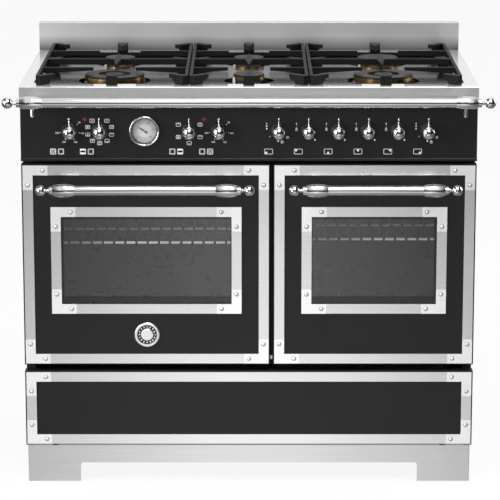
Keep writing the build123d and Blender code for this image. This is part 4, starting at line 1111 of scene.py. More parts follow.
@dataclass(frozen=True)
class ControlPanel:
    """White prints around the ten knobs."""

    ink: float = 0.08 * MM
    line: float = 0.9 * MM
    sign_drop: float = 45.9 * MM
    pair_offsets: Pair = (-37.0 * MM, -19.8 * MM)
    pair_size: float = 12.6 * MM
    pair_corner: float = 0.12
    thin_frame: float = 1.1
    thick_frame: float = 1.6
    inner_share: float = 0.7
    inner_line: float = 0.6
    inner_corner: float = 0.04
    band_rise: float = 0.3
    band_shares: Pair = (0.84, 0.26)
    fan_ring: float = 0.3
    fan_line: float = 1.2
    blade_reach: float = 0.24
    blade_shares: Pair = (0.2, 0.16)
    place_offset: float = -22.3 * MM
    place_width: float = 18.4 * MM
    place_height: float = 12.0 * MM
    place_corner: float = 0.14
    place_spot: float = 4.2 * MM
    spot_drop: float = 0.8
    ring_radius: float = 27.4 * MM
    sign_width: float = 10.4 * MM
    sign_height: float = 8.2 * MM
    sign_corner: float = 0.2
    bar_rise: float = 0.2
    bar_shares: Pair = (0.56, 0.13)
    fan_dot: float = 0.15
    temperatures: tuple[str, ...] = ("50", "100", "150", "200", "250")
    figure_height: float = 5.4 * MM
    figure_radius: float = 28.0 * MM
    dot_radius: float = 0.9 * MM
    dot_ring: float = 21.5 * MM
    first_figure_angle: float = 49.0
    figure_step: float = 52.75
    main_signs: tuple[Heat, ...] = (Heat.FAN, Heat.BOTH, Heat.TOP, Heat.BOTTOM, Heat.BOTH, Heat.FAN_TOP,
                                    Heat.FAN_BOTTOM, Heat.FAN_BOTH, Heat.FAN)
    small_signs: tuple[Heat, ...] = (Heat.BOTH, Heat.TOP, Heat.BOTTOM, Heat.BOTH, Heat.TOP)
    burner_spots: tuple[tuple[int, int], ...] = ((-1, -1), (-1, 1), (0, -1), (0, 1), (1, 1), (1, -1))
    double_burners: tuple[int, ...] = (1, 6)
    spark: tuple[Mark, ...] = (
        Mark(Stencil.disc, -26.4 * MM, 16.2 * MM, (1.3 * MM,)),
        Mark(Stencil.patch, -26.4 * MM, 12.6 * MM, (0.7 * MM, 3.6 * MM)),
    )
    single_flames: tuple[Mark, ...] = (
        Mark(Stencil.ring, -26.4 * MM, 2.6 * MM, (2.7 * MM, 1.1 * MM)),
        Mark(Stencil.flame, -26.4 * MM, 2.8 * MM, (4.6 * MM,)),
        Mark(Stencil.flame, 13.8 * MM, -22.6 * MM, (4.4 * MM,)),
    )
    double_flames: tuple[Mark, ...] = (
        Mark(Stencil.flame, -26.4 * MM, 8.2 * MM, (4.0 * MM,)),
        Mark(Stencil.flame, -26.4 * MM, 2.4 * MM, (4.0 * MM,)),
        Mark(Stencil.disc, -19.4 * MM, -12.6 * MM, (1.0 * MM,)),
        Mark(Stencil.flame, -1.2 * MM, -25.2 * MM, (4.2 * MM,)),
        Mark(Stencil.ring, 7.4 * MM, -25.0 * MM, (2.9 * MM, 1.2 * MM)),
        Mark(Stencil.flame, 7.4 * MM, -24.6 * MM, (3.6 * MM,)),
        Mark(Stencil.ring, 19.4 * MM, -14.4 * MM, (2.6 * MM, 0.9 * MM)),
    )

    def build(self, frame: Frame, material: Material) -> Piece:
        """Print everything on the panel's face.

        Args:
            material: The white ink.

        Returns:
            The printed piece.
        """
        stencil = Stencil(joint_place(frame, "gas_knob_1_turn").y, self.ink)
        for oven, signs in (("main", self.main_signs), ("small", self.small_signs)):
            self._selector(stencil, joint_place(frame, f"{oven}_selector_knob_turn"), signs)
            self._thermostat(stencil, joint_place(frame, f"{oven}_thermostat_knob_turn"))
        fan_first = (self._fan_sign, self._open_sign)
        band_first = (self._band_sign, self._open_sign)
        pairs = {"main_thermostat": fan_first, "main_selector": band_first,
                 "small_selector": band_first[::-1], "small_thermostat": fan_first[::-1]}
        for name, signs in pairs.items():
            place = joint_place(frame, f"{name}_knob_turn")
            for offset, sign in zip(self.pair_offsets, signs):
                sign(stencil, place.x + offset, place.z - self.sign_drop)
        for number, spot in enumerate(self.burner_spots, start=1):
            place = joint_place(frame, f"gas_knob_{number}_turn")
            self._burner_place(stencil, place, spot)
            flames = self.double_flames if number in self.double_burners else self.single_flames
            for mark in self.spark + flames:
                mark.stamp(stencil, place)
        return stencil.finish("panel_prints", "cooker", material)

    def _selector(self, stencil: Stencil, place: Vector, signs: tuple[Heat, ...]) -> None:
        """Print the signs round a selector, evenly spaced with the top left free.

        Args:
            stencil: The panel's print.
            place: The knob's place.
            signs: What the signs show, clockwise.
        """
        step = 2 * math.pi / (len(signs) + 1)
        for count, sign in enumerate(signs, start=1):
            self._oven_sign(stencil, *around(place, self.ring_radius, count * step), sign)

    def _oven_sign(self, stencil: Stencil, u: float, v: float, sign: Heat) -> None:
        """Print a small oven with its elements and fan.

        Args:
            stencil: The panel's print.
            u: Middle across the face.
            v: Middle up the face.
            sign: What the oven shows.
        """
        width, height = self.sign_width, self.sign_height
        stencil.outline(u, v, width, height, self.line, self.sign_corner * height)
        top, bottom, fan = sign.value
        for shown, side in ((top, 1), (bottom, -1)):
            if shown:
                stencil.patch(u, v + side * self.bar_rise * height, self.bar_shares[0] * width,
                              self.bar_shares[1] * height)
        if fan:
            stencil.disc(u, v, self.fan_dot * height)

    def _thermostat(self, stencil: Stencil, place: Vector) -> None:
        """Print the temperatures and their dots round a thermostat.

        Args:
            stencil: The panel's print.
            place: The knob's place.
        """
        for count, words in enumerate(self.temperatures):
            angle = math.radians(self.first_figure_angle + count * self.figure_step)
            stencil.figures(*around(place, self.figure_radius, angle), words, self.figure_height)
            stencil.disc(*around(place, self.dot_ring, angle), self.dot_radius)

    def _square(self, stencil: Stencil, u: float, v: float, lines: float) -> float:
        """Print a square sign's frame.

        Args:
            stencil: The panel's print.
            u: Middle across the face.
            v: Middle up the face.
            lines: How many lines thick it is.

        Returns:
            The sign's size.
        """
        size = self.pair_size
        stencil.outline(u, v, size, size, lines * self.line, self.pair_corner * size)
        return size

    def _open_sign(self, stencil: Stencil, u: float, v: float) -> None:
        """Print a square oven sign with a second frame inside.

        Args:
            stencil: The panel's print.
            u: Middle across the face.
            v: Middle up the face.
        """
        size = self._square(stencil, u, v, self.thin_frame)
        inner = self.inner_share * size
        stencil.outline(u, v, inner, inner, self.inner_line * self.line, self.inner_corner * size)

    def _band_sign(self, stencil: Stencil, u: float, v: float) -> None:
        """Print a square oven sign with a dark band across it.

        Args:
            stencil: The panel's print.
            u: Middle across the face.
            v: Middle up the face.
        """
        size = self._square(stencil, u, v, self.thin_frame)
        width, height = (share * size for share in self.band_shares)
        for side in (-1, 1):
            stencil.patch(u, v + side * self.band_rise * size, width, height)

    def _fan_sign(self, stencil: Stencil, u: float, v: float) -> None:
        """Print a square oven sign with a fan in it.

        Args:
            stencil: The panel's print.
            u: Middle across the face.
            v: Middle up the face.
        """
        size = self._square(stencil, u, v, self.thick_frame)
        stencil.ring(u, v, self.fan_ring * size, self.fan_line * self.line)
        width, height = (share * size for share in self.blade_shares)
        for side in (-1, 1):
            stencil.patch(u + side * self.blade_reach * size, v, width, height)

    def _burner_place(self, stencil: Stencil, place: Vector, spot: tuple[int, int]) -> None:
        """Print the hob's outline with a spot where the knob's burner is.

        Args:
            stencil: The panel's print.
            place: The knob's place.
            spot: The burner's side and row.
        """
        u, v = place.x + self.place_offset, place.z - self.sign_drop
        width, height = self.place_width, self.place_height
        stencil.outline(u, v, width, height, self.line, self.place_corner * height)
        reach_u = width / 2 - self.place_spot
        reach_v = height / 2 - self.spot_drop * self.place_spot
        stencil.patch(u + spot[0] * reach_u, v + spot[1] * reach_v, self.place_spot, self.place_spot)


@dataclass(frozen=True)
class Thermometer:
    """Silver dial with its scale, and the cap on the needle's hub."""

    dial_depth: float = 0.15 * MM
    dial_steps: int = 96
    dial_ring: float = 0.46
    dial_step: float = 0.03
    dial_sink: float = 0.4
    ink: float = 0.05 * MM
    bezel: float = 4.0 * MM
    dial_gap: float = 0.2 * MM
    needle_lift: float = 1.6 * MM
    rings: tuple[Pair, ...] = ((0.93, 0.4 * MM), (0.52, 0.3 * MM))
    scale_start: float = -135.0
    scale_end: float = 135.0
    ticks: int = 46
    tick_end: float = 0.92
    tick_reach: float = 2.4 * MM
    tick_line: float = 0.6 * MM
    long_every: int = 9
    long_reach: float = 1.6
    long_line: float = 2.0
    figure_ring: float = 0.66
    figure_step: int = 50
    figure_height: float = 4.0 * MM
    hub_radius: float = 2.9 * MM
    hub_depth: float = 0.9 * MM
    hub_lift: float = 0.5 * MM
    hub_steps: int = 40
    hub_round: float = 0.4
    hub_round_steps: int = 3
    face_share: float = 0.1

    def build(self, frame: Frame, ink: Material, paint: Material) -> None:
        """Make the dial, its print and the hub's cap.

        Args:
            ink: The scale's ink.
            paint: The needle's paint.
        """
        axis = joint_place(frame, "needle_turn")
        low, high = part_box("gauge_case")
        radius = (high.x - low.x) / 2 - self.bezel - self.dial_gap
        dial_face = axis.y + self.needle_lift
        self._dial(axis, dial_face, radius, DialSilver("dial_silver", tuple(axis), radius).make())
        stencil = Stencil(dial_face - self.dial_depth, self.ink)
        for share, line in self.rings:
            stencil.ring(axis.x, axis.z, share * radius, line)
        step = (self.scale_end - self.scale_start) / (self.ticks - 1)
        for count in range(self.ticks):
            turn = math.radians(self.scale_start + count * step)
            figure, rest = divmod(count, self.long_every)
            reach, line = self.tick_reach, self.tick_line
            if rest == 0:
                reach, line = self.long_reach * reach, self.long_line * line
            middle = self.tick_end * radius - reach / 2
            stencil.patch(*around(axis, middle, turn), line, reach, clockwise=turn)
            if rest == 0:
                words = str(self.figure_step * (figure + 1))
                stencil.figures(*around(axis, self.figure_ring * radius, turn), words, self.figure_height)
        stencil.finish("dial_scale", "cooker", ink)
        self._hub(axis, paint)

    def _dial(self, axis: Vector, face: float, radius: float, silver: Material) -> None:
        """Turn the thin dial plate with a shallow step round its middle.

        Args:
            axis: The needle's place.
            face: The plate's back, along Y.
            radius: The plate's radius.
            silver: Its finish.
        """
        clear_selection()
        bpy.ops.mesh.primitive_circle_add(vertices=self.dial_steps, radius=radius, fill_type="NGON",
                                          location=(axis.x, face, axis.z), rotation=UPRIGHT)
        dial = bpy.context.object
        apply_place(dial)
        with edit_mode():
            bpy.ops.mesh.extrude_region_move(TRANSFORM_OT_translate={"value": (0.0, -self.dial_depth, 0.0)})
            bpy.ops.mesh.inset(thickness=self.dial_ring * radius)
            bpy.ops.mesh.inset(thickness=self.dial_step * radius)
            bpy.ops.transform.translate(value=(0.0, self.dial_sink * self.dial_depth, 0.0))
            bpy.ops.mesh.select_all(action="SELECT")
            bpy.ops.mesh.normals_make_consistent(inside=False)
        dial.name = "gauge_dial"
        attach(dial, "cooker", silver)

    def _hub(self, axis: Vector, paint: Material) -> None:
        """Turn the low domed cap that holds the needle on its pivot.

        Args:
            axis: The needle's place.
            paint: Its finish.
        """
        middle = axis.y - self.hub_lift - self.hub_depth / 2
        clear_selection()
        bpy.ops.mesh.primitive_cylinder_add(vertices=self.hub_steps, radius=self.hub_radius,
                                            depth=self.hub_depth, location=(axis.x, middle, axis.z),
                                            rotation=UPRIGHT)
        hub = bpy.context.object
        apply_place(hub)
        front = min(vertex.co.y for vertex in hub.data.vertices)
        select_faces(hub, lambda face: abs(face.center.y - front) < self.face_share * self.hub_depth)
        with edit_mode(everything=False):
            bpy.ops.mesh.bevel(offset=self.hub_round * self.hub_depth, segments=self.hub_round_steps,
                               affect="EDGES")
        hub.name = "needle_hub"
        attach(hub, "needle", paint)


# Small pieces of the doors and the front


@dataclass(frozen=True)
class OvenDoor:
    """Black printed border on a door's inner pane."""

    name: str
    pane_inset: float = 1.0 * MM
    side_margin: float = 3.0 * MM
    top_margin: float = 13.0 * MM
    bottom_margin: float = 5.0 * MM
    inner_pane_front: float = 35.0 * MM
    ink: float = 0.15 * MM

    def build(self, material: Material) -> Piece:
        """Make the border by insetting a plate of the pane's size and opening its middle.

        Args:
            material: The black ceramic ink.

        Returns:
            The border.
        """
        low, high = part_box(f"{self.name}_door_glass")
        width, height = high.x - low.x - 2 * self.pane_inset, high.z - low.z - 2 * self.pane_inset
        face = low.y + self.inner_pane_front - self.ink
        middle = Vector(((low.x + high.x) / 2, face, (low.z + high.z) / 2))
        clear_selection()
        bpy.ops.mesh.primitive_plane_add(size=1.0)
        plate = bpy.context.object
        plate.scale = (width, height, 1.0)
        plate.location = middle
        plate.rotation_euler = UPRIGHT
        apply_place(plate)
        side = TRIM_WIDTH + self.side_margin - self.pane_inset
        open_low = low.z + TRIM_WIDTH + self.bottom_margin
        open_high = high.z - TRIM_WIDTH - self.top_margin
        stretch = (open_high - open_low) / (height - 2 * side)
        with edit_mode():
            bpy.ops.mesh.inset(thickness=side)
            bpy.ops.transform.resize(value=(1.0, 1.0, stretch), center_override=middle)
            bpy.ops.transform.translate(value=(0.0, 0.0, (open_low + open_high) / 2 - middle.z))
            bpy.ops.mesh.delete(type="FACE")
        use_modifier(plate, "SOLIDIFY", thickness=self.ink, offset=-1.0)
        plate.name = f"{self.name}_door_border"
        return attach(plate, f"{self.name}_door", material)


@dataclass(frozen=True)
class Roundel:
    """Black ring with a circle of beads in the dish of the main door's plain roundel."""

    height: float = 69.0 * MM
    dish_rise: float = 2.7 * MM
    ink: float = 0.2 * MM
    ring_radius: float = 21.7 * MM
    ring_width: float = 8.0 * MM
    beads: int = 16
    bead_radius: float = 2.2 * MM
    bead_circle: float = 17.7 * MM
    bead_steps: int = 12

    def build(self, enamel: Material, metal: Material) -> None:
        """Make the ring and the beads.

        Args:
            enamel: The ring's black.
            metal: The beads' finish.
        """
        low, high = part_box("main_door_skin")
        seat = low.y - self.dish_rise
        middle = Vector(((low.x + high.x) / 2, seat, low.z + self.height))
        stencil = Stencil(seat, self.ink)
        stencil.ring(middle.x, middle.z, self.ring_radius, self.ring_width)
        stencil.finish("roundel_ring", "main_door", enamel)
        first = self._bead(seat)
        beads = [first] + [self._copy(first) for _ in range(self.beads - 1)]
        for count, bead in enumerate(beads):
            u, v = around(middle, self.bead_circle, 2 * math.pi * count / self.beads)
            bead.location = (u, 0.0, v)
            apply_place(bead)
        attach(join_pieces(beads, "roundel_beads"), "main_door", metal)

    def _bead(self, seat: float) -> Piece:
        """Cut a small ball down to a dome that stands on the dish.

        Args:
            seat: The dish's place along Y.

        Returns:
            The bead, at X and Z 0.
        """
        clear_selection()
        bpy.ops.mesh.primitive_uv_sphere_add(segments=self.bead_steps, ring_count=self.bead_steps,
                                             radius=self.bead_radius, location=(0.0, seat, 0.0))
        bead = bpy.context.object
        apply_place(bead)
        with edit_mode():
            bpy.ops.mesh.bisect(plane_co=(0.0, seat, 0.0), plane_no=(0.0, 1.0, 0.0), use_fill=True,
                                clear_outer=True)
            bpy.ops.mesh.faces_shade_smooth()
        return bead

    def _copy(self, bead: Piece) -> Piece:
        """Copy a bead with its own mesh.

        Args:
            bead: The bead to copy.

        Returns:
            The copy.
        """
        clone = bead.copy()
        clone.data = bead.data.copy()
        bpy.context.scene.collection.objects.link(clone)
        return clone


@dataclass(frozen=True)
class FrontFittings:
    """Small fittings on the fixed front: lamp flanges, and the bead and stop between the doors."""

    flange_radius: float = 4.6 * MM
    flange_width: float = 1.5 * MM
    flange_depth: float = 0.5 * MM
    bead_width: float = 1.8 * MM
    bead_depth: float = 1.4 * MM
    bead_margin: float = 14.0 * MM
    stop_width: float = 5.0 * MM
    stop_height: float = 9.0 * MM
    stop_depth: float = 1.2 * MM
    stop_rise: float = 5.0 * MM
    stop_corner: float = 0.8 * MM

    def build(self, lens: Material, paint: Material, metal: Material) -> None:
        """Make the fittings.

        Args:
            lens: The flanges' red.
            paint: The bead's black.
            metal: The stop's finish.
        """
        low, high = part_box("indicator_lamps")
        main_low, main_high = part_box("main_door_skin")
        radius = (high.z - low.z) / 2
        flanges = Stencil(main_low.y, self.flange_depth)
        for u in (low.x + radius, high.x - radius):
            flanges.ring(u, low.z + radius, self.flange_radius, self.flange_width)
        flanges.finish("lamp_flanges", "cooker", lens)
        middle = (main_high.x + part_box("small_door_skin")[0].x) / 2
        frame_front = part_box("front_frame")[0].y
        bead_low, bead_high = main_low.z + self.bead_margin, main_high.z - self.bead_margin
        bead = Stencil(frame_front, self.bead_depth)
        bead.patch(middle, (bead_low + bead_high) / 2, self.bead_width, bead_high - bead_low)
        bead.finish("mullion_bead", "cooker", paint)
        stop = Stencil(frame_front, self.stop_depth)
        stop.patch(middle, main_low.z + self.stop_rise, self.stop_width, self.stop_height, self.stop_corner)
        stop.finish("door_stop", "cooker", metal)


@dataclass(frozen=True)
class RivetShade:
    """Thin dark ring painted round each rivet of one trimmed front: painted shade under the rivet's head."""

    body: str
    skin: str
    window: bool
    trim_inset: float = 3.0 * MM
    plate_rise: float = 3.0 * MM
    along: float = 44.0 * MM
    radius: float = 4.9 * MM
    line: float = 1.0 * MM
    ink: float = 0.06 * MM
    window_side: float = 63.0 * MM
    window_top: float = 96.0 * MM
    window_bottom: float = 117.0 * MM

    def build(self, material: Material) -> Piece:
        """Make the painted shade rings round every rivet on the front.

        Args:
            material: The painted shade's dark colour.

        Returns:
            The rings as one piece.
        """
        low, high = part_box(self.skin)
        stencil = Stencil(low.y - self.plate_rise, self.ink)
        inset = self.trim_inset
        self._frame(stencil, (low.x + inset, high.x - inset), (low.z + inset, high.z - inset))
        if self.window:
            self._frame(stencil, (low.x + self.window_side, high.x - self.window_side),
                        (low.z + self.window_bottom, high.z - self.window_top))
        return stencil.finish(f"{self.body}_rivet_rims", self.body, material)

    def _frame(self, stencil: Stencil, across: Pair, up: Pair) -> None:
        """Make the painted shade rings of one trim frame's eight rivets.

        Args:
            stencil: The front's rings.
            across: The frame's left and right edges.
            up: Its lower and upper edges.
        """
        half = TRIM_WIDTH / 2
        for u, inward_u in zip(across, (1, -1)):
            for v, inward_v in zip(up, (1, -1)):
                stencil.ring(u + inward_u * self.along, v + inward_v * half, self.radius, self.line)
                stencil.ring(u + inward_u * half, v + inward_v * self.along, self.radius, self.line)


# Dressing the frame's own nodes


@dataclass(frozen=True)
class Dresser:
    """Welds, smooths and finishes the frame's nodes without touching their meshes."""

    weld: float = 0.01 * MM
    crease: float = 32.0
    flat_angle: float = 1.0
    bevel_steps: int = 2

    def smoothing(self) -> bpy.types.GeometryNodeTree:
        """Build the node group that welds a mesh and shades it smooth up to the crease angle.

        Returns:
            The geometry node group.
        """
        group = bpy.data.node_groups.new("weld_and_smooth", "GeometryNodeTree")
        for way in ("INPUT", "OUTPUT"):
            group.interface.new_socket("Geometry", in_out=way, socket_type="NodeSocketGeometry")
        merge = group.nodes.new("GeometryNodeMergeByDistance")
        merge.inputs["Distance"].default_value = self.weld
        angle = group.nodes.new("GeometryNodeInputMeshEdgeAngle")
        compare = group.nodes.new("FunctionNodeCompare")
        compare.operation = "LESS_THAN"
        compare.inputs["B"].default_value = math.radians(self.crease)
        faces = group.nodes.new("GeometryNodeSetShadeSmooth")
        faces.domain = "FACE"
        edges = group.nodes.new("GeometryNodeSetShadeSmooth")
        edges.domain = "EDGE"
        group.links.new(angle.outputs["Unsigned Angle"], compare.inputs["A"])
        group.links.new(compare.outputs["Result"], edges.inputs["Shade Smooth"])
        chain = (group.nodes.new("NodeGroupInput"), merge, faces, edges, group.nodes.new("NodeGroupOutput"))
        for source, target in zip(chain, chain[1:]):
            group.links.new(source.outputs["Geometry"], target.inputs["Geometry"])
        return group

    def dress(self, frame: Frame, look: Look, group: bpy.types.GeometryNodeTree) -> None:
        """Finish nodes with one material.

        Args:
            look: The nodes' names, their material, and the bevel's width on sharp edges or 0 for none.
            group: The smoothing node group.
        """
        nodes, material, rounding = look
        for name in nodes:
            node = frame["nodes"][name]
            node.data.materials.clear()
            node.data.materials.append(material)
            if rounding:
                self._round(node, rounding)
            smooth = node.modifiers.new("smooth", "NODES")
            smooth.node_group = group
            weights = node.modifiers.new("flat_faces", "WEIGHTED_NORMAL")
            weights.keep_sharp = True
            LOG.info("dressed %s with %s", name, material.name)

    def _round(self, node: Piece, width: float) -> None:
        """Bevel a node's sharp edges.

        Args:
            node: The frame's node.
            width: Width of the bevel.
        """
        weld = node.modifiers.new("weld", "WELD")
        weld.merge_threshold = self.weld
        flat = node.modifiers.new("flat", "DECIMATE")
        flat.decimate_type = "DISSOLVE"
        flat.angle_limit = math.radians(self.flat_angle)
        bevel = node.modifiers.new("rounded", "BEVEL")
        bevel.width = width
        bevel.segments = self.bevel_steps
        bevel.limit_method = "ANGLE"
        bevel.angle_limit = math.radians(self.crease)


@dataclass(frozen=True)
class Livery:
    """Which finish each frame node gets, and where finishes and painted shade change on one node."""

    plate_rise: Pair = (2.7 * MM, 2.8 * MM)
    stud_rise: Pair = (3.1 * MM, 3.3 * MM)
    pan_shade_drop: Pair = (0.8 * MM, 1.4 * MM)
    fascia_shade_inset: Pair = (0.5 * MM, 0.2 * MM)
    foot_shade_rise: Pair = (34.0 * MM, 2.0 * MM)
    top_light_depth: Pair = (1.2 * MM, 0.2 * MM)
    post_shade_reach: float = 40.0 * MM
    skirt_rise: float = 3.5 * MM
    shelf_pitch: float = 25.0 * MM
    shelf_wire: float = 3.0 * MM
    sheet_rounding: float = 0.8 * MM
    trim_rounding: float = 0.3 * MM
    iron_rounding: float = 1.2 * MM

    def front(self, frame: Frame, black: Material, lens: Material) -> Iterator[Look]:
        """Finishes of the panels, trims, handles, knobs, thermometer and lamps, with painted shade on the
        handles' posts.

        Args:
            black: The panels' enamel.
            lens: The lamps' red.

        Yields:
            One look for each group of nodes.
        """
        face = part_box("main_door_skin")[0].y
        plates = Zone("Y", *(face - rise for rise in self.plate_rise), 1.0, 0.24, 0.62)
        studs = Zone("Y", *(face - rise for rise in self.stud_rise), 0.96, 0.36, 0.7)
        steel = BrushedSteel("trim_steel", 0.96, 0.27, zones=(plates, studs))
        # Painted shade: the handles' posts, behind this plane, are painted black.
        handles = Chrome("handle_chrome", skirt_and_shade_front=face - self.post_shade_reach)
        panes = SmokedGlass("smoked_pane", grey(0.93), ior=1.42)
        knob_seat = joint_place(frame, "gas_knob_1_turn").y
        knobs = tuple(name for name in frame["nodes"] if "knob" in name)
        skins = ("control_panel", "drawer_front", "main_door_skin", "small_door_skin")
        yield skins, black, self.sheet_rounding
        yield ("main_door_trim", "small_door_trim", "drawer_trim"), steel.make(), self.trim_rounding
        yield ("main_door_handle", "small_door_handle"), handles.make(), 0.0
        yield knobs, Chrome("knob_chrome", skirt_and_shade_front=knob_seat - self.skirt_rise).make(), 0.0
        yield ("towel_rail", "gauge_case"), Chrome("bright_chrome").make(), 0.0
        yield ("main_door_glass", "small_door_glass"), panes.make(), 0.0
        yield ("gauge_glass",), SmokedGlass("clear_pane", grey(0.98)).make(), 0.0
        yield ("gauge_needle",), Coating("needle_paint", (0.16, 0.05, 0.025), 0.4).make(), 0.0
        yield ("indicator_lamps",), lens, 0.0

    def hob(self) -> Iterator[Look]:
        """Finishes of the hob, upstand, burners, pan supports and gas pipes, with painted shade and light in
        places.

        Yields:
            One look for each group of nodes.
        """
        low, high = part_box("worktop")
        # Painted shade: the sheet below the rim gets a far darker tone than the rim, standing in for the
        # shade under the grates.
        pan = Zone("Z", *(high.z - drop for drop in self.pan_shade_drop), 0.26, 0.16)
        # Painted shade: the worktop's front face gets a darker tone than its top, the same steel shown as if
        # in less light.
        fascia_shade = Zone("Y", *(low.y + inset for inset in self.fascia_shade_inset), 0.5, 0.42, 0.75)
        # Painted shade: the upstand turns darker over its lowest few centimetres, standing in for the grates'
        # dark reflection and the shade there.
        upstand_foot_shade = Zone("Z", *(high.z + rise for rise in self.foot_shade_rise), 0.16, 0.4, 0.8)
        grate_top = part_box("left_grate")[1].z
        # The grates' top millimetre is painted paler: painted light from above.
        iron = CastIron("cast_iron", 0.009, 0.02, 0.55, *(grate_top - depth for depth in self.top_light_depth))
        brass = CookedMetal("bare_brass", (0.34, 0.2, 0.053), (0.56, 0.38, 0.145), 0.3)
        yield ("worktop",), BrushedSteel("hob_steel", 0.98, 0.1, 0.7, zones=(pan, fascia_shade)).make(), 0.0
        yield ("upstand",), BrushedSteel("upstand_steel", 0.74, 0.42, 0.7, zones=(upstand_foot_shade,)).make(), 0.0
        yield ("left_grate", "centre_grate", "right_grate"), iron.make(), self.iron_rounding
        yield ("burner_heads", "gas_manifold", "valves_and_switches"), brass.make(), 0.0
        yield ("burner_caps",), SatinEnamel("cap_enamel", 0.012, 0.45, 0.28).make(), 0.0
        yield ("burner_cups",), CookedMetal("cast_aluminium", grey(0.45), grey(0.6), 0.4).make(), 0.0
        yield ("igniters",), Coating("white_ceramic", (0.82, 0.81, 0.77), 0.25).make(), 0.0

    def ovens(self) -> Iterator[Look]:
        """Finishes of the ovens' linings, shelves, fan and elements.

        Yields:
            One look for each group of nodes.
        """
        enamel = SpeckledEnamel("oven_enamel", (0.014, 0.0145, 0.016), (0.09, 0.094, 0.1), 0.3)
        tube = CookedMetal("element_tube", (0.06, 0.055, 0.05), (0.16, 0.13, 0.11), 0.5)
        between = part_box("main_oven_cavity")[1].x
        wires = ShelfWire("shelf_chrome", between, self._first_wires(), self.shelf_pitch)
        cavities = ("main_oven_cavity", "small_oven_cavity", "main_door_liner", "small_door_liner",
                    "fan_cover")
        yield cavities, enamel.make(), 0.0
        yield ("shelf_side_racks",), Chrome("wire_chrome", 0.9, 0.12).make(), 0.0
        yield ("oven_shelves",), wires.make(), 0.0
        yield ("oven_door_seals",), RopeWeave("rope_seal", grey(0.08), grey(0.28)).make(), 0.0
        yield ("grill_elements",), tube.make(), 0.0
        yield ("fan_impeller",), CookedMetal("blackened_steel", grey(0.05), grey(0.1), 0.45).make(), 0.0
        yield ("fan_motor",), Coating("motor_paint", grey(0.03), 0.5).make(), 0.0

    def carcass(self) -> Iterator[Look]:
        """Finishes of the sides, plinth, feet and hidden sheets.

        Yields:
            One look for each group of nodes.
        """
        sheets = ("back_panel", "base_panel", "drawer_runners", "oven_deck", "drawer_box", "hinge_arms",
                  "main_door_hinges", "small_door_hinges")
        yield ("side_panels", "front_frame"), SatinEnamel("black_stove_paint", 0.014, 0.5, 0.3).make(), 0.0
        yield ("plinth",), BrushedSteel("plinth_steel", 0.8, 0.26).make(), 0.0
        yield sheets, SpangledSteel("galvanised_sheet", 0.5, 0.42).make(), 0.0
        yield ("levelling_feet",), Coating("foot_plastic", grey(0.025), 0.6).make(), 0.0

    def _first_wires(self) -> Pair:
        """Find where each oven shelf's first thin wire is.

        Returns:
            The wires' places along X in the main and the small oven.
        """
        low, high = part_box("oven_shelves")
        sides = {"main_oven_cavity": low.x + self.shelf_wire, "small_oven_cavity": high.x - self.shelf_wire}
        firsts = []
        for cavity, side in sides.items():
            cavity_low, cavity_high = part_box(cavity)
            middle = (cavity_low.x + cavity_high.x) / 2
            count = int(2 * abs(side - middle) / self.shelf_pitch) - 1
            firsts.append(middle - self.shelf_pitch * (count - 1) / 2)
        return tuple(firsts)


# Studio


@dataclass(frozen=True)
class Softbox:
    """One soft lamp, aimed at a point."""

    name: str
    place: Triple
    aim: Triple
    width: float
    height: float
    power: float

    def build(self) -> None:
        """Hang the lamp, out of the camera's sight."""
        lamp = bpy.data.lights.new(self.name, "AREA")
        lamp.shape = "RECTANGLE"
        lamp.size = self.width
        lamp.size_y = self.height
        lamp.energy = self.power
        holder = bpy.data.objects.new(self.name, lamp)
        holder.location = self.place
        holder.rotation_euler = (Vector(self.aim) - Vector(self.place)).to_track_quat("-Z", "Y").to_euler()
        holder.visible_camera = False
        bpy.context.scene.collection.objects.link(holder)


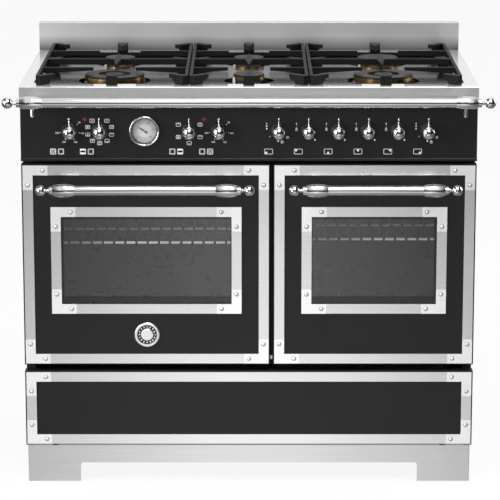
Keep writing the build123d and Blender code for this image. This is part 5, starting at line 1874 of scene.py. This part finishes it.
@dataclass(frozen=True)
class Studio:
    """White floor, soft lamps, a room that only mirrors see, and the photograph's camera."""

    floor_width: float = 60.0
    floor_sink: float = 0.2 * MM
    floor_tone: float = 0.92
    floor_glow: float = 0.9
    far: float = 1000.0
    pool_half: float = 1.6
    pool_tones: tuple[Pair, ...] = ((0.0, 0.04), (0.31, 0.06), (0.45, 0.4), (0.62, 0.52), (0.94, 1.0))
    pool_reach: Pair = (-8.0, -5.4)
    sheen_span: Pair = (0.3, 0.58)
    steep_tone: float = 0.25
    ambient: float = 0.5
    ceiling_span: Pair = (0.22, 0.34)
    strip_half: float = 0.5
    strip_fade: float = 0.5
    strip_tone: float = 0.8
    back_span: Pair = (0.1, 0.5)
    wall_tone: float = 0.05
    panels: tuple[tuple[Triple, Triple], ...] = (
        ((-1.0, -0.2, 0.15), (0.45, 0.8, 0.7)), ((0.55, 0.84, 0.0), (0.5, 0.4, 0.6)))
    panel_fade: float = 0.15
    camera_x: float = 2.4 * MM
    camera_back: float = 5.824
    camera_height: float = 1.761
    camera_tip: float = 12.426
    camera_lens: float = 186.0
    lamps: tuple[Softbox, ...] = (
        Softbox("key_softbox", (-3.0, -2.4, 1.85), (0.0, 0.0, 1.3), 0.8, 3.4, 100.0),
        Softbox("top_softbox", (0.2, -1.6, 3.2), (0.0, 0.0, 0.6), 1.4, 1.6, 50.0),
        Softbox("side_softbox", (3.2, 1.0, 1.7), (0.5, 0.0, 0.5), 1.6, 2.2, 60.0),
    )

    def build(self) -> None:
        """Set up everything that isn't the cooker."""
        self._floor()
        self._surroundings()
        self._camera()
        for lamp in self.lamps:
            lamp.build()
        bpy.context.scene.view_settings.view_transform = "Standard"

    def _show(self, graph: Graph, plain: bpy.types.ShaderNode, seen: bpy.types.ShaderNode, mirrored: Socket,
              share: float) -> None:
        """Blend in a glow that is white to the camera, and shaded in mirrors and glass.

        Args:
            graph: The floor's or the world's nodes.
            plain: The shader that lights the cooker.
            seen: The glowing shader.
            mirrored: Strength of the glow in mirrors.
            share: How much of the glow covers the plain shader.
        """
        rays = graph.add("ShaderNodeLightPath").outputs
        graph.link(graph.peak(rays["Is Camera Ray"], mirrored), seen.inputs["Strength"])
        straight = graph.peak(rays["Is Camera Ray"], rays["Is Glossy Ray"], rays["Is Transmission Ray"])
        graph.show_mixed(graph.span(straight, 0.0, 1.0, 0.0, share), plain, seen)

    def _floor(self) -> None:
        """Lay the floor, with a pool of light in front of the cooker that mirrors see, dim from above."""
        clear_selection()
        bpy.ops.mesh.primitive_plane_add(size=self.floor_width)
        floor = bpy.context.object
        floor.location.z = -self.floor_sink
        apply_place(floor)
        floor.name = "studio_floor"
        graph = Graph(bpy.data.materials.new("white_floor"))
        paint = graph.add("ShaderNodeBsdfDiffuse")
        paint.inputs["Color"].default_value = (*grey(self.floor_tone), 1.0)
        middle = graph.nearness(grey(0.0), (self.pool_half, self.far, self.far))
        across = graph.colours(middle, *((place, grey(tone)) for place, tone in self.pool_tones))
        along = graph.span(graph.axis("Y"), *self.pool_reach, self.wall_tone, 1.0)
        glance = graph.add("ShaderNodeLayerWeight").outputs["Facing"]
        sheen = graph.span(glance, *self.sheen_span, self.steep_tone, 1.0)
        pool = graph.combine("MULTIPLY", across, along, sheen)
        self._show(graph, paint, graph.add("ShaderNodeEmission"), pool, self.floor_glow)
        floor.data.materials.append(graph.owner)

    def _surroundings(self) -> None:
        """Give the world a white strip over the ceiling and down the back, light panels and dim walls."""
        world = bpy.data.worlds.new("studio")
        bpy.context.scene.world = world
        graph = Graph(world, "ShaderNodeOutputWorld", "Generated")
        middle = graph.nearness(grey(0.0), (self.strip_half, self.far, self.far))
        strip = graph.span(middle, 0.0, self.strip_fade, self.strip_tone * self.wall_tone, self.strip_tone)
        ceiling = graph.span(graph.axis("Z"), *self.ceiling_span, self.wall_tone, 1.0)
        back = graph.span(graph.axis("Y"), *self.back_span, self.wall_tone, 1.0)
        room = graph.combine("MULTIPLY", strip, graph.peak(ceiling, back))
        for direction, radii in self.panels:
            panel = graph.span(graph.nearness(direction, radii), 0.0, self.panel_fade)
            room = graph.peak(room, panel)
        light, seen = graph.add("ShaderNodeBackground"), graph.add("ShaderNodeBackground")
        for background in (light, seen):
            background.inputs["Color"].default_value = (*grey(1.0), 1.0)
        light.inputs["Strength"].default_value = self.ambient
        self._show(graph, light, seen, room, 1.0)

    def _camera(self) -> None:
        """Stand the camera in front of the cooker, tipped down to the photograph's framing."""
        data = bpy.data.cameras.new("photo_camera")
        data.lens = self.camera_lens
        camera = bpy.data.objects.new("photo_camera", data)
        camera.location = (self.camera_x, -self.camera_back, self.camera_height)
        camera.rotation_euler = (math.radians(90.0 - self.camera_tip), 0.0, 0.0)
        bpy.context.scene.collection.objects.link(camera)
        bpy.context.scene.camera = camera


def main() -> None:
    """Load the frame, dress it, add the printed and small pieces, and set up the studio."""
    logging.basicConfig(level=logging.INFO, format="%(message)s")
    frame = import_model()
    black = SatinEnamel("satin_black_enamel", 0.012, 0.36, 0.26).make()
    lens = LampLens("red_lens", (0.13, 0.019, 0.006)).make()
    livery = Livery()
    looks = [*livery.front(frame, black, lens), *livery.hob(), *livery.ovens(), *livery.carcass()]
    dresser = Dresser()
    group = dresser.smoothing()
    for look in looks:
        dresser.dress(frame, look, group)
    ControlPanel().build(frame, Coating("white_print", grey(0.82), 0.5).make())
    dark_ink = Coating("dial_ink", grey(0.03), 0.6).make()
    Thermometer().build(frame, dark_ink, Coating("hub_paint", (0.62, 0.32, 0.18), 0.35).make())
    # Painted shade: a dark ring round each rivet head.
    rivet_shade_paint = Coating("rivet_painted_shade", grey(0.07), 0.6).make()
    fronts = (("main_door", "main_door_skin", True), ("small_door", "small_door_skin", True),
              ("drawer", "drawer_front", False))
    for body, skin, window in fronts:
        RivetShade(body, skin, window).build(rivet_shade_paint)
    Roundel().build(black, Chrome("bead_chrome").make())
    bead_paint = SatinEnamel("bead_paint", 0.03, 0.4, 0.5).make()
    FrontFittings().build(lens, bead_paint, BrushedSteel("stop_steel", 0.95, 0.3, 0.5).make())
    border = Coating("border_ink", grey(0.006), 0.6, 0.0).make()
    for name in ("main", "small"):
        OvenDoor(name).build(border)
    Studio().build()


if __name__ == "__main__":
    main()
